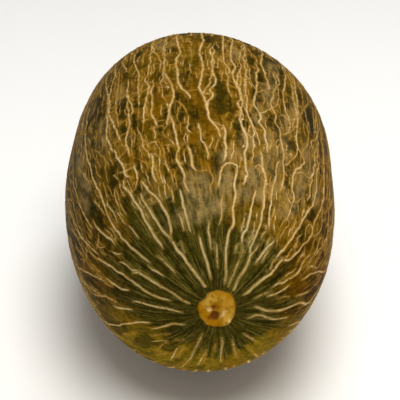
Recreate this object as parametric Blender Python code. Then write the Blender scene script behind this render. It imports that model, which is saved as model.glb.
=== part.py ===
"""A whole piel de sapo melon, lying on its side.

Metres, +Z up. The melon's long axis lies along Y, with the stem end towards -Y
and the blossom end towards +Y. It rests on a small flat spot at z = 0, below its
centre of mass. A melon grows as one piece, so it is one closed solid: the rind
with the corky stem scar at one end and the blossom scar at the other.
"""

import math

import bmesh
import bpy
import numpy as np

# ---- driving dimensions, in metres ----------------------------------------
RADIUS = 0.0751            # half the widest cross-section, on average
STEM_LENGTH = 0.1630       # widest section to the stem end
BLOSSOM_LENGTH = 0.1284    # widest section to the blossom end
STEM_FULLNESS = 2.45       # superellipse exponent of the longer stem end
BLOSSOM_FULLNESS = 2.70    # and of the fuller blossom end
STEM_OFFSET_X = 0.0140     # the fruit bends a little: the stem end's shift
STEM_OFFSET_Z = 0.0059
BLOSSOM_OFFSET_X = -0.0060
BLOSSOM_OFFSET_Z = -0.0074
# unroundness of the section, as shares of its radius
LOBE_2, LOBE_3, LOBE_5 = 0.0224, 0.0183, 0.0030

STEM_SCAR_RADIUS = 0.0106  # corky disc where the stem broke away
STEM_SCAR_HEIGHT = 0.0016
STEM_PIT_RADIUS = 0.0027   # the pit in its middle
STEM_PIT_DEPTH = 0.0026
BLOSSOM_SCAR_RADIUS = 0.0056
BLOSSOM_SCAR_HEIGHT = 0.0005

FLAT_DEPTH = 0.0009        # how much the fruit is flattened where it lies
SEGMENTS = 80              # around the axis

RIND_COLOUR = (0.115, 0.080, 0.022, 1.0)
RIND_ROUGHNESS = 0.42


def smoothstep(low, high, value):
    part = np.clip((value - low) / (high - low), 0.0, 1.0)
    return part * part * (3.0 - 2.0 * part)


def lobes(angle):
    """The section's unroundness; angle is 0 at +X and a quarter turn at +Z."""
    return (
        LOBE_2 * np.cos(2.0 * angle - 1.107)
        + LOBE_3 * np.cos(3.0 * angle - 0.564)
        + LOBE_5 * np.cos(5.0 * angle - 1.1)
    )


def scar_edge(angle):
    """The stem scar's lobed outline, as a factor of its radius."""
    return (
        1.0
        + 0.050 * np.cos(5.0 * angle + 0.4)
        + 0.030 * np.cos(3.0 * angle - 0.9)
        + 0.020 * np.cos(8.0 * angle + 2.0)
    )


def station(rho, stem):
    """Distance along the axis from the widest section to where the radius is rho."""
    length = STEM_LENGTH if stem else BLOSSOM_LENGTH
    power = STEM_FULLNESS if stem else BLOSSOM_FULLNESS
    return length * (1.0 - (rho / RADIUS) ** power) ** (1.0 / power)


def centre_line(y):
    """The bent axis: x and z of the section's centre at y."""
    stem = np.clip(-y / STEM_LENGTH, 0.0, 1.0)
    blossom = np.clip(y / BLOSSOM_LENGTH, 0.0, 1.0)
    x = STEM_OFFSET_X * stem**2 + BLOSSOM_OFFSET_X * blossom**2
    return x, STEM_OFFSET_Z * stem**2 + BLOSSOM_OFFSET_Z * blossom**2


def ring(rho, lift, stem, outline):
    """One ring of points: radius rho, raised by lift, with a blend of the scar's outline."""
    angle = np.arange(SEGMENTS) * (2.0 * math.pi / SEGMENTS)
    around = rho * (1.0 + (scar_edge(angle) - 1.0) * outline)
    away = station(np.minimum(around, RADIUS), stem) + lift
    y = -away if stem else away
    around = around * (1.0 + lobes(angle) * smoothstep(0.010, 0.060, rho))
    x0, z0 = centre_line(y)
    return np.stack([x0 + around * np.cos(angle), y, z0 + around * np.sin(angle)], 1)


def stem_lift(rho):
    disc = STEM_SCAR_HEIGHT * (1.0 - smoothstep(0.90, 1.0, rho / STEM_SCAR_RADIUS))
    pit = STEM_PIT_DEPTH * (1.0 - smoothstep(0.35, 1.0, rho / STEM_PIT_RADIUS))
    return disc - pit


def blossom_lift(rho):
    disc = 1.0 - smoothstep(0.72, 1.0, rho / BLOSSOM_SCAR_RADIUS)
    dip = 0.6 * (1.0 - smoothstep(0.0, 0.45, rho / BLOSSOM_SCAR_RADIUS))
    return BLOSSOM_SCAR_HEIGHT * (disc - dip)


def body_radii(first, count):
    """Radii from a scar out to the widest section, evenly spread by angle."""
    start = math.asin(first / RADIUS)
    turn = np.linspace(start, math.pi / 2.0, count)
    return RADIUS * np.sin(turn)


def build_rings():
    rings = []
    r = STEM_SCAR_RADIUS
    p = STEM_PIT_RADIUS
    near = [0.35 * p, 0.6 * p, 0.8 * p, p, 1.5 * p, 0.62 * r, 0.80 * r, 0.90 * r,
            0.95 * r, r, 1.10 * r, 1.30 * r]
    for rho in near:
        blend = float(smoothstep(0.35, 0.85, rho / r) * (1.0 - smoothstep(1.0, 1.6, rho / r)))
        rings.append(ring(rho, float(stem_lift(rho)), True, blend))
    for rho in body_radii(1.6 * r, 22):
        rings.append(ring(float(rho), 0.0, True, 0.0))
    q = BLOSSOM_SCAR_RADIUS
    far = list(body_radii(1.6 * q, 26)[:-1][::-1])
    for rho in far:
        rings.append(ring(float(rho), 0.0, False, 0.0))
    for rho in (1.25 * q, q, 0.86 * q, 0.72 * q, 0.45 * q, 0.2 * q):
        rings.append(ring(rho, float(blossom_lift(rho)), False, 0.0))
    return rings


def tip(lift, stem):
    away = (STEM_LENGTH if stem else BLOSSOM_LENGTH) + lift
    y = -away if stem else away
    x0, z0 = centre_line(np.array(y))
    return (float(x0), float(y), float(z0))


def build_melon():
    bm = bmesh.new()
    rows = [[bm.verts.new(point) for point in row] for row in build_rings()]
    stem_tip = bm.verts.new(tip(float(stem_lift(0.0)), True))
    blossom_tip = bm.verts.new(tip(float(blossom_lift(0.0)), False))
    for k in range(SEGMENTS):
        n = (k + 1) % SEGMENTS
        bm.faces.new((stem_tip, rows[0][k], rows[0][n]))
        bm.faces.new((blossom_tip, rows[-1][n], rows[-1][k]))
        for one, two in zip(rows[:-1], rows[1:]):
            bm.faces.new((one[k], two[k], two[n], one[n]))

    # flatten the underside, below the centre of mass
    lowest = min(v.co.z for v in bm.verts)
    floor = lowest + FLAT_DEPTH
    everything = bm.verts[:] + bm.edges[:] + bm.faces[:]
    cut = bmesh.ops.bisect_plane(
        bm, geom=everything, dist=1e-7, plane_co=(0.0, 0.0, floor),
        plane_no=(0.0, 0.0, 1.0), clear_inner=True, clear_outer=False,
    )
    rim = [e for e in cut["geom_cut"] if isinstance(e, bmesh.types.BMEdge)]
    bmesh.ops.remove_doubles(bm, verts=list({v for e in rim for v in e.verts}), dist=5e-5)
    rim = [e for e in bm.edges if e.is_boundary]
    made = bmesh.ops.holes_fill(bm, edges=rim, sides=0)
    flat = made["faces"]

    # stand it on z = 0 with the middle of its box over the origin
    lows = [min(v.co[i] for v in bm.verts) for i in range(3)]
    highs = [max(v.co[i] for v in bm.verts) for i in range(3)]
    shift = (-(lows[0] + highs[0]) / 2, -(lows[1] + highs[1]) / 2, -floor)
    bmesh.ops.translate(bm, verts=bm.verts, vec=shift)
    bmesh.ops.recalc_face_normals(bm, faces=bm.faces)
    for face in bm.faces:
        face.smooth = True
    for face in flat:
        face.smooth = False
        for edge in face.edges:
            edge.smooth = False

    mesh = bpy.data.meshes.new("melon")
    bm.to_mesh(mesh)
    bm.free()
    return bpy.data.objects.new("melon", mesh)


for old in list(bpy.data.objects):
    bpy.data.objects.remove(old, do_unlink=True)

rind = bpy.data.materials.new("rind")
rind.use_nodes = True
surface = rind.node_tree.nodes["Principled BSDF"]
surface.inputs["Base Color"].default_value = RIND_COLOUR
surface.inputs["Roughness"].default_value = RIND_ROUGHNESS
surface.inputs["Metallic"].default_value = 0.0

melon = build_melon()
melon.data.materials.append(rind)
bpy.context.scene.collection.objects.link(melon)
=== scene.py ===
"""Looks of a whole piel de sapo melon: its netted rind, stem scar and blossom scar.

The rind is one closed mesh that stands for the CAD solid. The corky netting is
real relief: mesh points run along each line's crest, shoulders and edges, and a
Delaunay triangulation in a conformal map of the body joins them. The lines and
the soft patches of colour on the side that the photograph shows were placed one
by one and laid on the body through the photograph's view; elsewhere seeded rules
draw them. The ground's colours, fine web, speckle and gloss are procedural.
"""

import math

import bpy
import numpy as np
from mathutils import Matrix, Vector, kdtree
from mathutils.geometry import delaunay_2d_cdt


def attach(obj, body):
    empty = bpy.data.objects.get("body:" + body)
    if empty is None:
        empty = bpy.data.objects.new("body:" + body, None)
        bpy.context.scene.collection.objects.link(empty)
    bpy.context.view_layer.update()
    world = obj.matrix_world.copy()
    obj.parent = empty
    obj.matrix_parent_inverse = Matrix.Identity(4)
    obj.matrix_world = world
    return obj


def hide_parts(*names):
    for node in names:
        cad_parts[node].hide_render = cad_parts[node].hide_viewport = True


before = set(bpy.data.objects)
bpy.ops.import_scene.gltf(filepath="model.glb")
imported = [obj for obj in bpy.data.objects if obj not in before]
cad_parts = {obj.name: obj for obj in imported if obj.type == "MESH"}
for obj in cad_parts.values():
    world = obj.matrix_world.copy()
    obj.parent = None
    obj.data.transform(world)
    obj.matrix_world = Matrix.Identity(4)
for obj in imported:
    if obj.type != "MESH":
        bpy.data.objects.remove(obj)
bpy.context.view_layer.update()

TAU = 2.0 * math.pi

# ---- the body, in millimetres, as the CAD solid has it ---------------------
RADIUS = 75.1
STEM_LENGTH, BLOSSOM_LENGTH = 163.0, 128.4
STEM_FULLNESS, BLOSSOM_FULLNESS = 2.45, 2.70
STEM_OFFSET_X, STEM_OFFSET_Z = 14.0, 5.9
BLOSSOM_OFFSET_X, BLOSSOM_OFFSET_Z = -6.0, -7.4
LOBE_2, LOBE_3, LOBE_5 = 0.0224, 0.0183, 0.0030
SHIFT = np.array([-1.375, 17.843, 74.230])  # body frame to the shared frame
INSET = 0.50            # skin between the netting, below the CAD surface

SCAR_HEIGHT = 1.45       # of the stem scar's crust
CAP_STEM, CAP_BLOSSOM = 13.4, 8.4   # radii of the regular caps at the two ends

# ---- the photograph's view: down at 25 degrees on to the stem end, in mm -----
ELEVATION, YAW = math.radians(25.36), math.radians(-1.51)
DISTANCE, LENS = 988.0, 154.4
AHEAD = np.array([
    math.sin(YAW) * math.cos(ELEVATION), math.cos(YAW) * math.cos(ELEVATION), -math.sin(ELEVATION)
])
RIGHT = np.array([math.cos(YAW), -math.sin(YAW), 0.0])
UP = np.cross(RIGHT, AHEAD)
AIM = np.array([-1.546, 17.843, 74.158]) + 1.74 * RIGHT - 10.49 * UP
EYE = AIM - DISTANCE * AHEAD - SHIFT    # in the body frame


def smooth(low, high, value):
    part = np.clip((value - low) / (high - low), 0.0, 1.0)
    return part * part * (3.0 - 2.0 * part)


def profile_table():
    turn = np.linspace(0.0, math.pi / 2.0, 6001)
    stem_r = RADIUS * np.sin(turn) ** (2.0 / STEM_FULLNESS)
    stem_y = -STEM_LENGTH * np.cos(turn) ** (2.0 / STEM_FULLNESS)
    far_r = RADIUS * np.sin(turn[::-1]) ** (2.0 / BLOSSOM_FULLNESS)
    far_y = BLOSSOM_LENGTH * np.cos(turn[::-1]) ** (2.0 / BLOSSOM_FULLNESS)
    r = np.concatenate([stem_r, far_r[1:]])
    y = np.concatenate([stem_y, far_y[1:]])
    s = np.concatenate([[0.0], np.cumsum(np.hypot(np.diff(r), np.diff(y)))])
    middle = np.maximum(0.5 * (r[1:] + r[:-1]), 0.05)
    q = np.concatenate([[0.0], np.cumsum(np.diff(s) / middle)])
    return s, r, y, q


TAB_S, TAB_R, TAB_Y, TAB_Q = profile_table()
S_END = float(TAB_S[-1])
HALF = len(TAB_S) // 2
S_STEM = float(np.interp(CAP_STEM, TAB_R[:HALF], TAB_S[:HALF]))
S_BLOSSOM = float(np.interp(CAP_BLOSSOM, TAB_R[HALF:][::-1], TAB_S[HALF:][::-1]))


def rho(s):
    return np.interp(s, TAB_S, TAB_R)


def skin(theta, s):
    """Points of the CAD surface, in the body frame."""
    r = np.interp(s, TAB_S, TAB_R)
    y = np.interp(s, TAB_S, TAB_Y)
    lobes = (
        LOBE_2 * np.cos(2.0 * theta - 1.107)
        + LOBE_3 * np.cos(3.0 * theta - 0.564)
        + LOBE_5 * np.cos(5.0 * theta - 1.1)
    )
    lobed = r * (1.0 + lobes * smooth(10.0, 60.0, r))
    stem = np.clip(-y / STEM_LENGTH, 0.0, 1.0)
    far = np.clip(y / BLOSSOM_LENGTH, 0.0, 1.0)
    x0 = STEM_OFFSET_X * stem**2 + BLOSSOM_OFFSET_X * far**2
    z0 = STEM_OFFSET_Z * stem**2 + BLOSSOM_OFFSET_Z * far**2
    return np.stack([x0 + lobed * np.cos(theta), y, z0 + lobed * np.sin(theta)], -1)


def skin_normal(theta, s):
    e, d = 2e-4, 0.04
    a = skin(theta + e, s) - skin(theta - e, s)
    b = skin(theta, np.minimum(s + d, S_END)) - skin(theta, np.maximum(s - d, 0.0))
    n = np.cross(b, a)
    n /= np.maximum(np.linalg.norm(n, axis=-1, keepdims=True), 1e-12)
    return n


# ---- seeded noise -----------------------------------------------------------
def lattice(seed):
    return np.random.default_rng(seed).random((32, 32, 32)) * 2.0 - 1.0


LATTICES = [lattice(40 + k) for k in range(6)]


def noise(points, size, which=0):
    """Smooth value noise in space, -1 to 1; size is the wavelength in mm."""
    grid = LATTICES[which % 6]
    q = np.asarray(points) / size + 7.3 * (which + 1)
    base = np.floor(q).astype(int)
    f = q - base
    f = f * f * f * (f * (f * 6.0 - 15.0) + 10.0)
    out = np.zeros(q.shape[:-1])
    for i in (0, 1):
        wx = f[..., 0] if i else 1.0 - f[..., 0]
        for j in (0, 1):
            wy = f[..., 1] if j else 1.0 - f[..., 1]
            for k in (0, 1):
                wz = f[..., 2] if k else 1.0 - f[..., 2]
                v = grid[(base[..., 0] + i) % 32, (base[..., 1] + j) % 32, (base[..., 2] + k) % 32]
                out += wx * wy * wz * v
    return out


def wander(rng, s, step):
    """One smooth random walk along s, about -1 to 1, with bends every step mm."""
    knots = np.arange(s[0] - 2 * step, s[-1] + 3 * step, step)
    value = rng.uniform(-1.0, 1.0, len(knots))
    place = (s - knots[0]) / step
    k = np.clip(np.floor(place).astype(int), 0, len(knots) - 2)
    f = place - k
    f = f * f * (3.0 - 2.0 * f)
    return value[k] * (1.0 - f) + value[k + 1] * f


# ---- laying places of the photograph on the body ------------------------------
FOCUS = LENS / 36.0 * 400.0


def seen_at(theta, s):
    """Where a point of the skin falls in the photograph's 400 x 400 frame."""
    away = skin(theta, s) - EYE
    depth = away @ AHEAD
    across = FOCUS * (away @ RIGHT) / depth
    down = -FOCUS * (away @ UP) / depth
    return across / 2.3 + 86.2, (down - 3.0) / 2.3 + 169.4


def facing(theta, s):
    """How squarely the skin faces the photograph's viewpoint, 1 to -1."""
    to_eye = EYE - skin(theta, s)
    to_eye /= np.linalg.norm(to_eye, axis=-1, keepdims=True)
    return (to_eye * skin_normal(theta, s)).sum(-1)


def lay(x, y):
    """The (theta, s) of the body under each place of the photograph."""
    x, y = np.asarray(x, float), np.asarray(y, float)
    grid_t, grid_s = np.meshgrid(
        np.radians(np.arange(0.0, 360.0, 1.5)), np.arange(4.0, S_END - 4.0, 2.0), indexing="ij"
    )
    grid_t, grid_s = grid_t.ravel(), grid_s.ravel()
    front = facing(grid_t, grid_s) > 0.03
    grid_t, grid_s = grid_t[front], grid_s[front]
    gx, gy = seen_at(grid_t, grid_s)
    theta, s = np.empty(len(x)), np.empty(len(x))
    for i in range(len(x)):
        k = int(np.argmin((gx - x[i]) ** 2 + (gy - y[i]) ** 2))
        theta[i], s[i] = grid_t[k], grid_s[k]
    start_t, start_s = theta.copy(), s.copy()
    for _ in range(6):
        px, py = seen_at(theta, s)
        e = 1e-3
        ax, ay = seen_at(theta + e, s)
        bx, by = seen_at(theta, s + 0.05)
        m11, m21 = (ax - px) / e, (ay - py) / e
        m12, m22 = (bx - px) / 0.05, (by - py) / 0.05
        det = m11 * m22 - m12 * m21
        det = np.where(np.abs(det) < 1e-6, 1e-6, det)
        rx, ry = x - px, y - py
        theta = theta + np.clip((m22 * rx - m12 * ry) / det, -0.04, 0.04)
        s = s + np.clip((m11 * ry - m21 * rx) / det, -3.0, 3.0)
    px, py = seen_at(theta, s)
    lost = np.hypot(px - x, py - y) > 0.5
    return np.where(lost, start_t, theta), np.where(lost, start_s, s)


# ---- the netting --------------------------------------------------------------
# The main cork lines of the side in the photograph, placed one by one: a rank
# (3 broad, 2 middling, 1 thin, 0 fine and golden) and places along the line in
# the photograph's 400 x 400 frame.
SEEN_LINES = (
    # above the stem scar
    (3, ((89.8, 208), (88, 205.3), (85.4, 201.8), (82.8, 198.2), (80.2, 194.8), (77.8, 191.7), (76.2, 190), (74.8, 187.3), (73.2, 184.4))),
    (2, ((73.4, 184.8), (70.7, 182.2), (68.8, 179.5), (66.5, 176.3), (64.6, 173.4), (62.7, 170.4), (60.6, 166.8), (60, 164.5))),
    (2, ((73.2, 184.4), (73.3, 181.4), (72.7, 178.1), (71.9, 175.2), (70.6, 172.4), (68.8, 169.5), (66.9, 166.7), (64, 164.4), (62.2, 161.9), (60.4, 159.3))),
    (2, ((90.8, 202), (90.2, 199.3), (89.4, 196), (88.4, 193.2), (87.5, 190.5), (86.5, 187), (85.5, 183.6))),
    (1, ((93.9, 197), (93.6, 194), (93.5, 190), (93.5, 187.4))),
    (2, ((96.8, 204.5), (97.5, 200.8), (97.5, 197.5), (97.4, 194), (97.5, 189.5), (98.3, 185.5), (99, 182), (100.8, 178.5), (101, 175), (100.6, 172), (101.3, 168.5), (102, 165), (101.3, 161.5), (101.5, 158.5), (102.5, 155.2), (102.3, 152.6), (100, 151.7), (96.8, 152.4), (95.4, 155), (94.8, 159), (94.2, 162.6))),
    (1, ((95.9, 166), (95.6, 170), (95.5, 174), (94.5, 178.5))),
    (1, ((98.5, 206), (99.3, 204), (100.5, 201.5), (101.5, 198.6), (103.3, 194.7))),
    (2, ((100.3, 208.3), (101.5, 206), (102.6, 203.4), (104, 201), (105.5, 198.4), (106.8, 196), (108, 193.3), (108.3, 189.5), (109.4, 186.2), (111, 182.5), (112.3, 178.5), (113.3, 174.5), (114.3, 170.5), (114.5, 167), (114, 163.5), (115, 160), (114.9, 157), (113.8, 153), (113.5, 149.5), (112.5, 146))),
    (1, ((107.6, 194), (109, 191.8), (110.3, 190), (112, 187.5))),
    (2, ((110.3, 195.8), (112, 193.4), (114.3, 190.3), (117, 187.5), (119.3, 185.2))),
    (3, ((105.5, 209.3), (107, 208.3), (109.5, 206), (112, 204), (114.5, 202), (117, 200.4), (119, 198), (121, 195.3), (122.6, 193.4))),
    (2, ((122.6, 193.4), (124.2, 194.4), (127, 192.5), (128.5, 191), (130.5, 188.5), (133, 186), (135, 183.5), (135.5, 180), (136.6, 177), (138, 174), (139.3, 171), (140.3, 167), (140.5, 162), (140.4, 157.5))),
    (2, ((119.5, 193), (122.5, 190), (125, 186.5), (127.5, 183), (129.5, 179.7), (131.5, 176.5), (133.4, 172.6), (135.5, 170), (136.5, 167))),
    (2, ((90, 150), (89.5, 147), (88.3, 144), (86.6, 141), (86.2, 138), (85.6, 134))),
    (1, ((91, 189), (90.3, 185), (89.8, 181.5), (90, 177))),
    (1, ((101.5, 190.6), (102.5, 187.3))),
    # left of the scar
    (2, ((84.5, 214), (80.5, 212.9), (75, 209.3), (70, 206.3), (65, 203.3), (62, 201.5), (59.5, 200), (56.5, 199.6))),
    (1, ((44.6, 203.6), (41, 202), (38.4, 200.6), (35, 198.8), (32.7, 197))),
    (1, ((29.5, 172.5), (31.1, 177), (33.5, 182.4), (37.2, 187.6), (41.7, 191.9))),
    (1, ((49.1, 212), (45.5, 210.6), (41.7, 208.8), (38, 206.4))),
    (0, ((72.5, 226.6), (68, 226.9), (64, 227.6))),
    (0, ((79.5, 232.5), (77.5, 235), (75.5, 237))),
    (0, ((58.5, 226), (54.5, 226.6), (51.5, 226.4))),
    (2, ((73, 212), (68, 210.6), (64, 208.8), (60, 206), (56, 203.3), (52.6, 200.8), (50, 199.3), (48, 197.7), (45.5, 196), (42.5, 194.2), (41, 193))),
    (1, ((41.5, 194.2), (39.8, 192.3), (38.3, 190.8), (36.6, 187.6), (35, 185.6))),
    (2, ((78, 217.2), (73, 215.8), (68, 214.8), (63, 213.8), (60, 212.9), (56.5, 212.4))),
    (1, ((79, 222.6), (74, 222.3), (71, 223.2), (68, 224), (64.5, 224.5))),
    (2, ((64, 221.7), (60, 221.4), (57, 221.9), (53, 222.1), (50, 222.8), (47, 222.4))),
    (2, ((56.5, 215.9), (53, 215.4), (50, 215), (48, 214.2))),
    (1, ((49.5, 212.6), (47, 211.5), (44.5, 210.2), (42.5, 210), (40.5, 209.5), (38.5, 208), (37, 206))),
    (2, ((55, 207.4), (52, 207), (49.5, 205.5), (47, 203.8), (45, 202))),
    (0, ((47.5, 206), (44.5, 204.6), (42, 202.5), (40, 200.5), (38.5, 198.5))),
    (1, ((59.5, 198.8), (56.2, 198.3), (54.5, 196.8), (52.3, 195.5), (50.5, 195.3))),
    (2, ((70, 201.4), (67.5, 199.6), (64.5, 198), (63, 196.5))),
    (2, ((63.8, 195), (61.5, 193.4), (59.4, 191.4), (55.8, 188.4), (53.1, 185.7), (51.2, 183.4), (49, 181), (47.6, 178.6), (46.4, 175.7), (45, 172.4), (43.8, 168.6), (43, 166), (41.4, 162.9), (40, 160), (38.9, 156.7), (38.5, 153.8), (37.2, 150.5), (36.4, 147), (36.2, 143))),
    (1, ((75, 199.6), (72, 196.5), (69, 193.8), (67, 192))),
    (1, ((30.7, 191), (32.2, 195.5), (34, 200), (36.2, 205), (38.5, 209))),
    (0, ((34.8, 193), (37, 195.7), (39, 198), (41.5, 200))),
    (2, ((38.8, 180.2), (37.4, 178.1), (35.7, 174.8), (33.8, 171), (32.9, 168.1), (32, 165), (31.2, 162.4), (30.8, 157))),
    (2, ((48.8, 187.2), (47.9, 186), (45, 183.8), (42.1, 181.4), (40.2, 178.6), (39, 176.5))),
    (1, ((51.3, 172), (50.4, 170), (49.5, 168.4), (49, 165.7), (49.3, 161.9))),
    (1, ((50.3, 159.2), (48.2, 156.8))),
    (2, ((69.8, 189), (68.3, 186.6), (66.4, 184.2), (64.5, 180.6), (62.2, 176.7), (60.5, 172.9), (58.3, 169.5), (56.2, 166.2), (54.5, 163.9), (52.8, 161.9), (52.6, 159))),
    (1, ((33.6, 187.1), (35, 190), (37, 193.5))),
    (1, ((44, 188.7), (42.6, 189), (41.3, 187.8), (40.4, 186))),
    (1, ((46.9, 190), (49.3, 191.4), (51.5, 191.6))),
    (1, ((59, 184.9), (57.4, 182.4), (55.5, 180), (54, 179))),
    # right of the scar
    (2, ((118, 206.2), (120, 204.6), (122.5, 204), (125, 202.4), (128, 200.7), (129.6, 199), (130.3, 197.5), (131.5, 195.5), (132.5, 193.7), (134.8, 191))),
    (2, ((116, 210), (119.5, 209), (122.5, 207.3), (125.5, 205.2))),
    (1, ((110.5, 211), (111.8, 210), (114.5, 208.8), (117.3, 207.3))),
    (2, ((110.5, 214.8), (114, 216), (117, 216.5), (120, 216.3), (123.5, 215.6), (126.5, 214.5), (129.5, 213.3), (133, 213.3), (136, 210.2))),
    (1, ((107.5, 219.6), (110.5, 218.4), (113, 218.5), (115.5, 219.5), (118.5, 220.2), (122, 220), (125.3, 219.3))),
    (1, ((125.3, 223.1), (127.5, 222.2), (130.3, 221))),
    (1, ((128.5, 210.2), (129.7, 209.6), (132, 208.7), (134.6, 207.5))),
    (1, ((131, 203), (133, 201.3), (136.5, 199.8), (139.8, 199.3))),
    (1, ((136, 192.8), (138, 190), (140, 187.5), (141.6, 184), (142.2, 179.8), (142.5, 175))),
    (0, ((120.5, 211.4), (123, 210.6), (125.5, 210.2))),
    (1, ((139.6, 175), (139.4, 180), (137, 184))),
    # below the scar
    (1, ((87, 227), (85.8, 229.8), (84, 233), (82.8, 236), (80.5, 239), (77.5, 241.6))),
    (1, ((88, 235.5), (87.2, 237), (86, 238.6), (85, 240.2))),
    (1, ((105.5, 226.8), (108, 228.2), (110.6, 230))),
    (1, ((64.5, 229.8), (67.5, 229.7), (71.5, 229.4))),
    (0, ((74.5, 229.6), (79, 229.3))),
    (0, ((67.5, 236), (69.5, 235.4), (72, 234.4))),
    (0, ((92.7, 231.5), (92.6, 234.5))),
    (0, ((102, 234.5), (102.5, 237.5))),
    (1, ((110, 235.3), (112, 237))),
    # the middle of the fruit
    (2, ((54.8, 158.2), (53.3, 156.7), (52.4, 153.8), (51.2, 151.2), (49.4, 148.4), (48.8, 145.4))),
    (2, ((47.8, 147), (47, 144.3), (45.5, 141), (45.3, 137.9), (45.5, 134.3))),
    (2, ((55.7, 149.2), (54.6, 146.2), (53.7, 143.6), (53.8, 141.5), (54.6, 137.9), (55.4, 134.7), (55.3, 132))),
    (2, ((58.4, 162), (58.6, 159), (58, 155.2), (56.5, 151.6))),
    (0, ((58.3, 149.6), (61.2, 151.2), (63.6, 153.8))),
    (2, ((64.3, 146.8), (65.5, 150), (65.2, 153.8), (66, 157.6), (67, 160.2))),
    (1, ((66.6, 141.5), (67.1, 143), (68.6, 146.2), (68.6, 149.5), (68.3, 153.8))),
    (1, ((69.8, 156.7), (70.8, 160), (70.5, 163.8), (71.4, 167))),
    (1, ((73.5, 162.2), (74, 165.2), (74.7, 168.6))),
    (2, ((73, 130.6), (73.9, 132.9), (74.5, 135.6), (75.4, 138.4), (76, 142), (76.7, 145.2), (76, 148.5), (76.6, 151), (77.7, 153.3), (79.2, 157.1), (79.6, 161), (81.4, 164.8))),
    (2, ((80.7, 143.8), (82, 148), (82.8, 151.9), (84.6, 155.4))),
    (2, ((77.1, 162.9), (77.7, 165.2), (78.6, 168.6), (79.3, 172.4), (80.5, 176.2), (81.3, 180), (81.9, 182))),
    (1, ((76.4, 173.8), (77.9, 177.1), (78.8, 181))),
    (0, ((77.4, 185.5), (78, 187.5), (79, 190.5))),
    (2, ((96.5, 135), (97.4, 138.5), (97.2, 141.5), (97.8, 145), (97.1, 148.5), (96.5, 150.5))),
    (2, ((103, 120), (104.2, 123.7), (102.7, 126.2), (104, 129), (103.6, 133.3), (105, 137), (106.6, 140.5), (106.5, 145), (105.6, 149), (106.3, 153), (106.5, 157), (105.8, 161))),
    (2, ((104.4, 186.8), (105, 182.7), (106.8, 181), (107.3, 178.5), (108, 175), (108.8, 171), (110, 167), (110.6, 163.3))),
    (2, ((111, 120.6), (110.1, 124), (110.2, 127), (112, 129.6), (112.6, 132), (112.3, 134.6), (114.3, 137), (114.6, 140.5), (115.5, 143.3), (115.6, 147))),
    (2, ((118.4, 123.4), (117.3, 126.5), (118.5, 129), (119.5, 132), (119.2, 134.6), (120.9, 137), (121.3, 140.2), (121.9, 144), (122.8, 148.5), (122.6, 152), (122.8, 155), (122.3, 160), (121.5, 163.6))),
    (2, ((121.3, 150.3), (119.6, 153.5), (119.5, 157), (118.3, 161), (117.6, 165), (117.5, 169), (116.6, 172), (116.3, 176), (116.5, 180))),
    (1, ((126.8, 150.2), (124.5, 151.8), (123, 153))),
    (2, ((128.8, 134.3), (128.3, 138.5), (128.1, 142), (129, 145.2), (131, 149), (131.7, 151), (130.2, 153.4), (128, 155.2), (127, 158.5), (126.6, 162.5), (127.3, 167), (126.5, 170))),
    (2, ((136.9, 141.3), (135.1, 144.4), (136.2, 147), (136.5, 151), (135.7, 155), (135.4, 158), (134.6, 161), (134.2, 165), (133, 168))),
    (0, ((120.3, 170), (124.5, 172), (127, 174.6), (123, 177), (121, 180))),
    # the far half
    (2, ((45.2, 119.5), (46, 122.9), (46, 126.5), (46.3, 129.3), (47.2, 132.5), (48.7, 135.6), (50.2, 138.8), (51.3, 142))),
    (1, ((49.4, 125.6), (49.6, 129.7), (50, 132.9), (50.4, 135.8))),
    (1, ((55.5, 124.7), (56.4, 127.5), (56.6, 129.8), (55.4, 132))),
    (2, ((58.2, 110.2), (59.3, 112.5), (59.4, 115.6), (59.3, 119.3), (59.5, 123), (59.8, 126.5))),
    (2, ((63.9, 110.2), (63.5, 112.9), (62.1, 115.2), (63.8, 118.4), (63.5, 121.5), (62.5, 124.7), (61.7, 127.9), (61.6, 131.1), (61.3, 134.5))),
    (2, ((65.2, 123.8), (65.3, 127.5), (64.8, 130.4), (66.6, 133.4), (67.5, 136))),
    (1, ((65.3, 135.6), (66.6, 138.4), (66.6, 141.5))),
    (1, ((66.6, 103.8), (68.4, 106.1), (68.9, 108.8), (68.4, 111.8))),
    (1, ((70.6, 99.7), (70.4, 102), (69.5, 105))),
    (2, ((70.4, 109.5), (71, 112.9), (72.8, 115.6), (74.1, 118.8), (74.6, 122), (73.8, 125.2), (73, 128.4), (72.3, 131.5), (71.5, 135.4))),
    (2, ((76.8, 100.4), (77.5, 103.8), (76, 106.3), (75.7, 109.7), (76.5, 112.5), (76.5, 115.6), (78, 118.8), (80.6, 121), (82.4, 123.5))),
    (0, ((74.6, 124), (76.3, 124.8), (78.8, 127), (80.5, 130))),
    (1, ((81.2, 130.6), (81.3, 133.8), (80.7, 136.3), (82.1, 138.5))),
    (1, ((53.2, 109.8), (54.4, 112.3))),
    (1, ((48.9, 111.5), (49.8, 115))),
    (1, ((69.7, 120), (70.2, 122.9), (71.3, 124.8))),
    (2, ((86.8, 100.2), (86, 103), (87, 106.5), (87.4, 111), (86.5, 115), (86, 119), (87.3, 122), (88.7, 124.6), (89.2, 127.5))),
    (2, ((92.3, 113), (93, 115.5), (91.8, 118.5), (90.4, 120), (91.6, 121.5), (90.1, 124.5), (89.3, 127.5), (90, 131), (92, 134.5), (94.4, 137.5), (95.2, 140.5))),
    (1, ((89.9, 117.8), (88.4, 120), (87.4, 122))),
    (2, ((96.4, 98.5), (96.3, 102.5), (96.3, 106), (97.5, 109), (98.8, 110.6), (98.4, 113.2))),
    (2, ((100, 100.3), (99.5, 104), (100.1, 107.5), (101.5, 110), (100.6, 113), (101.5, 116.5), (102.4, 119))),
    (1, ((98.4, 117), (99, 120.5), (100, 123.2))),
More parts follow.
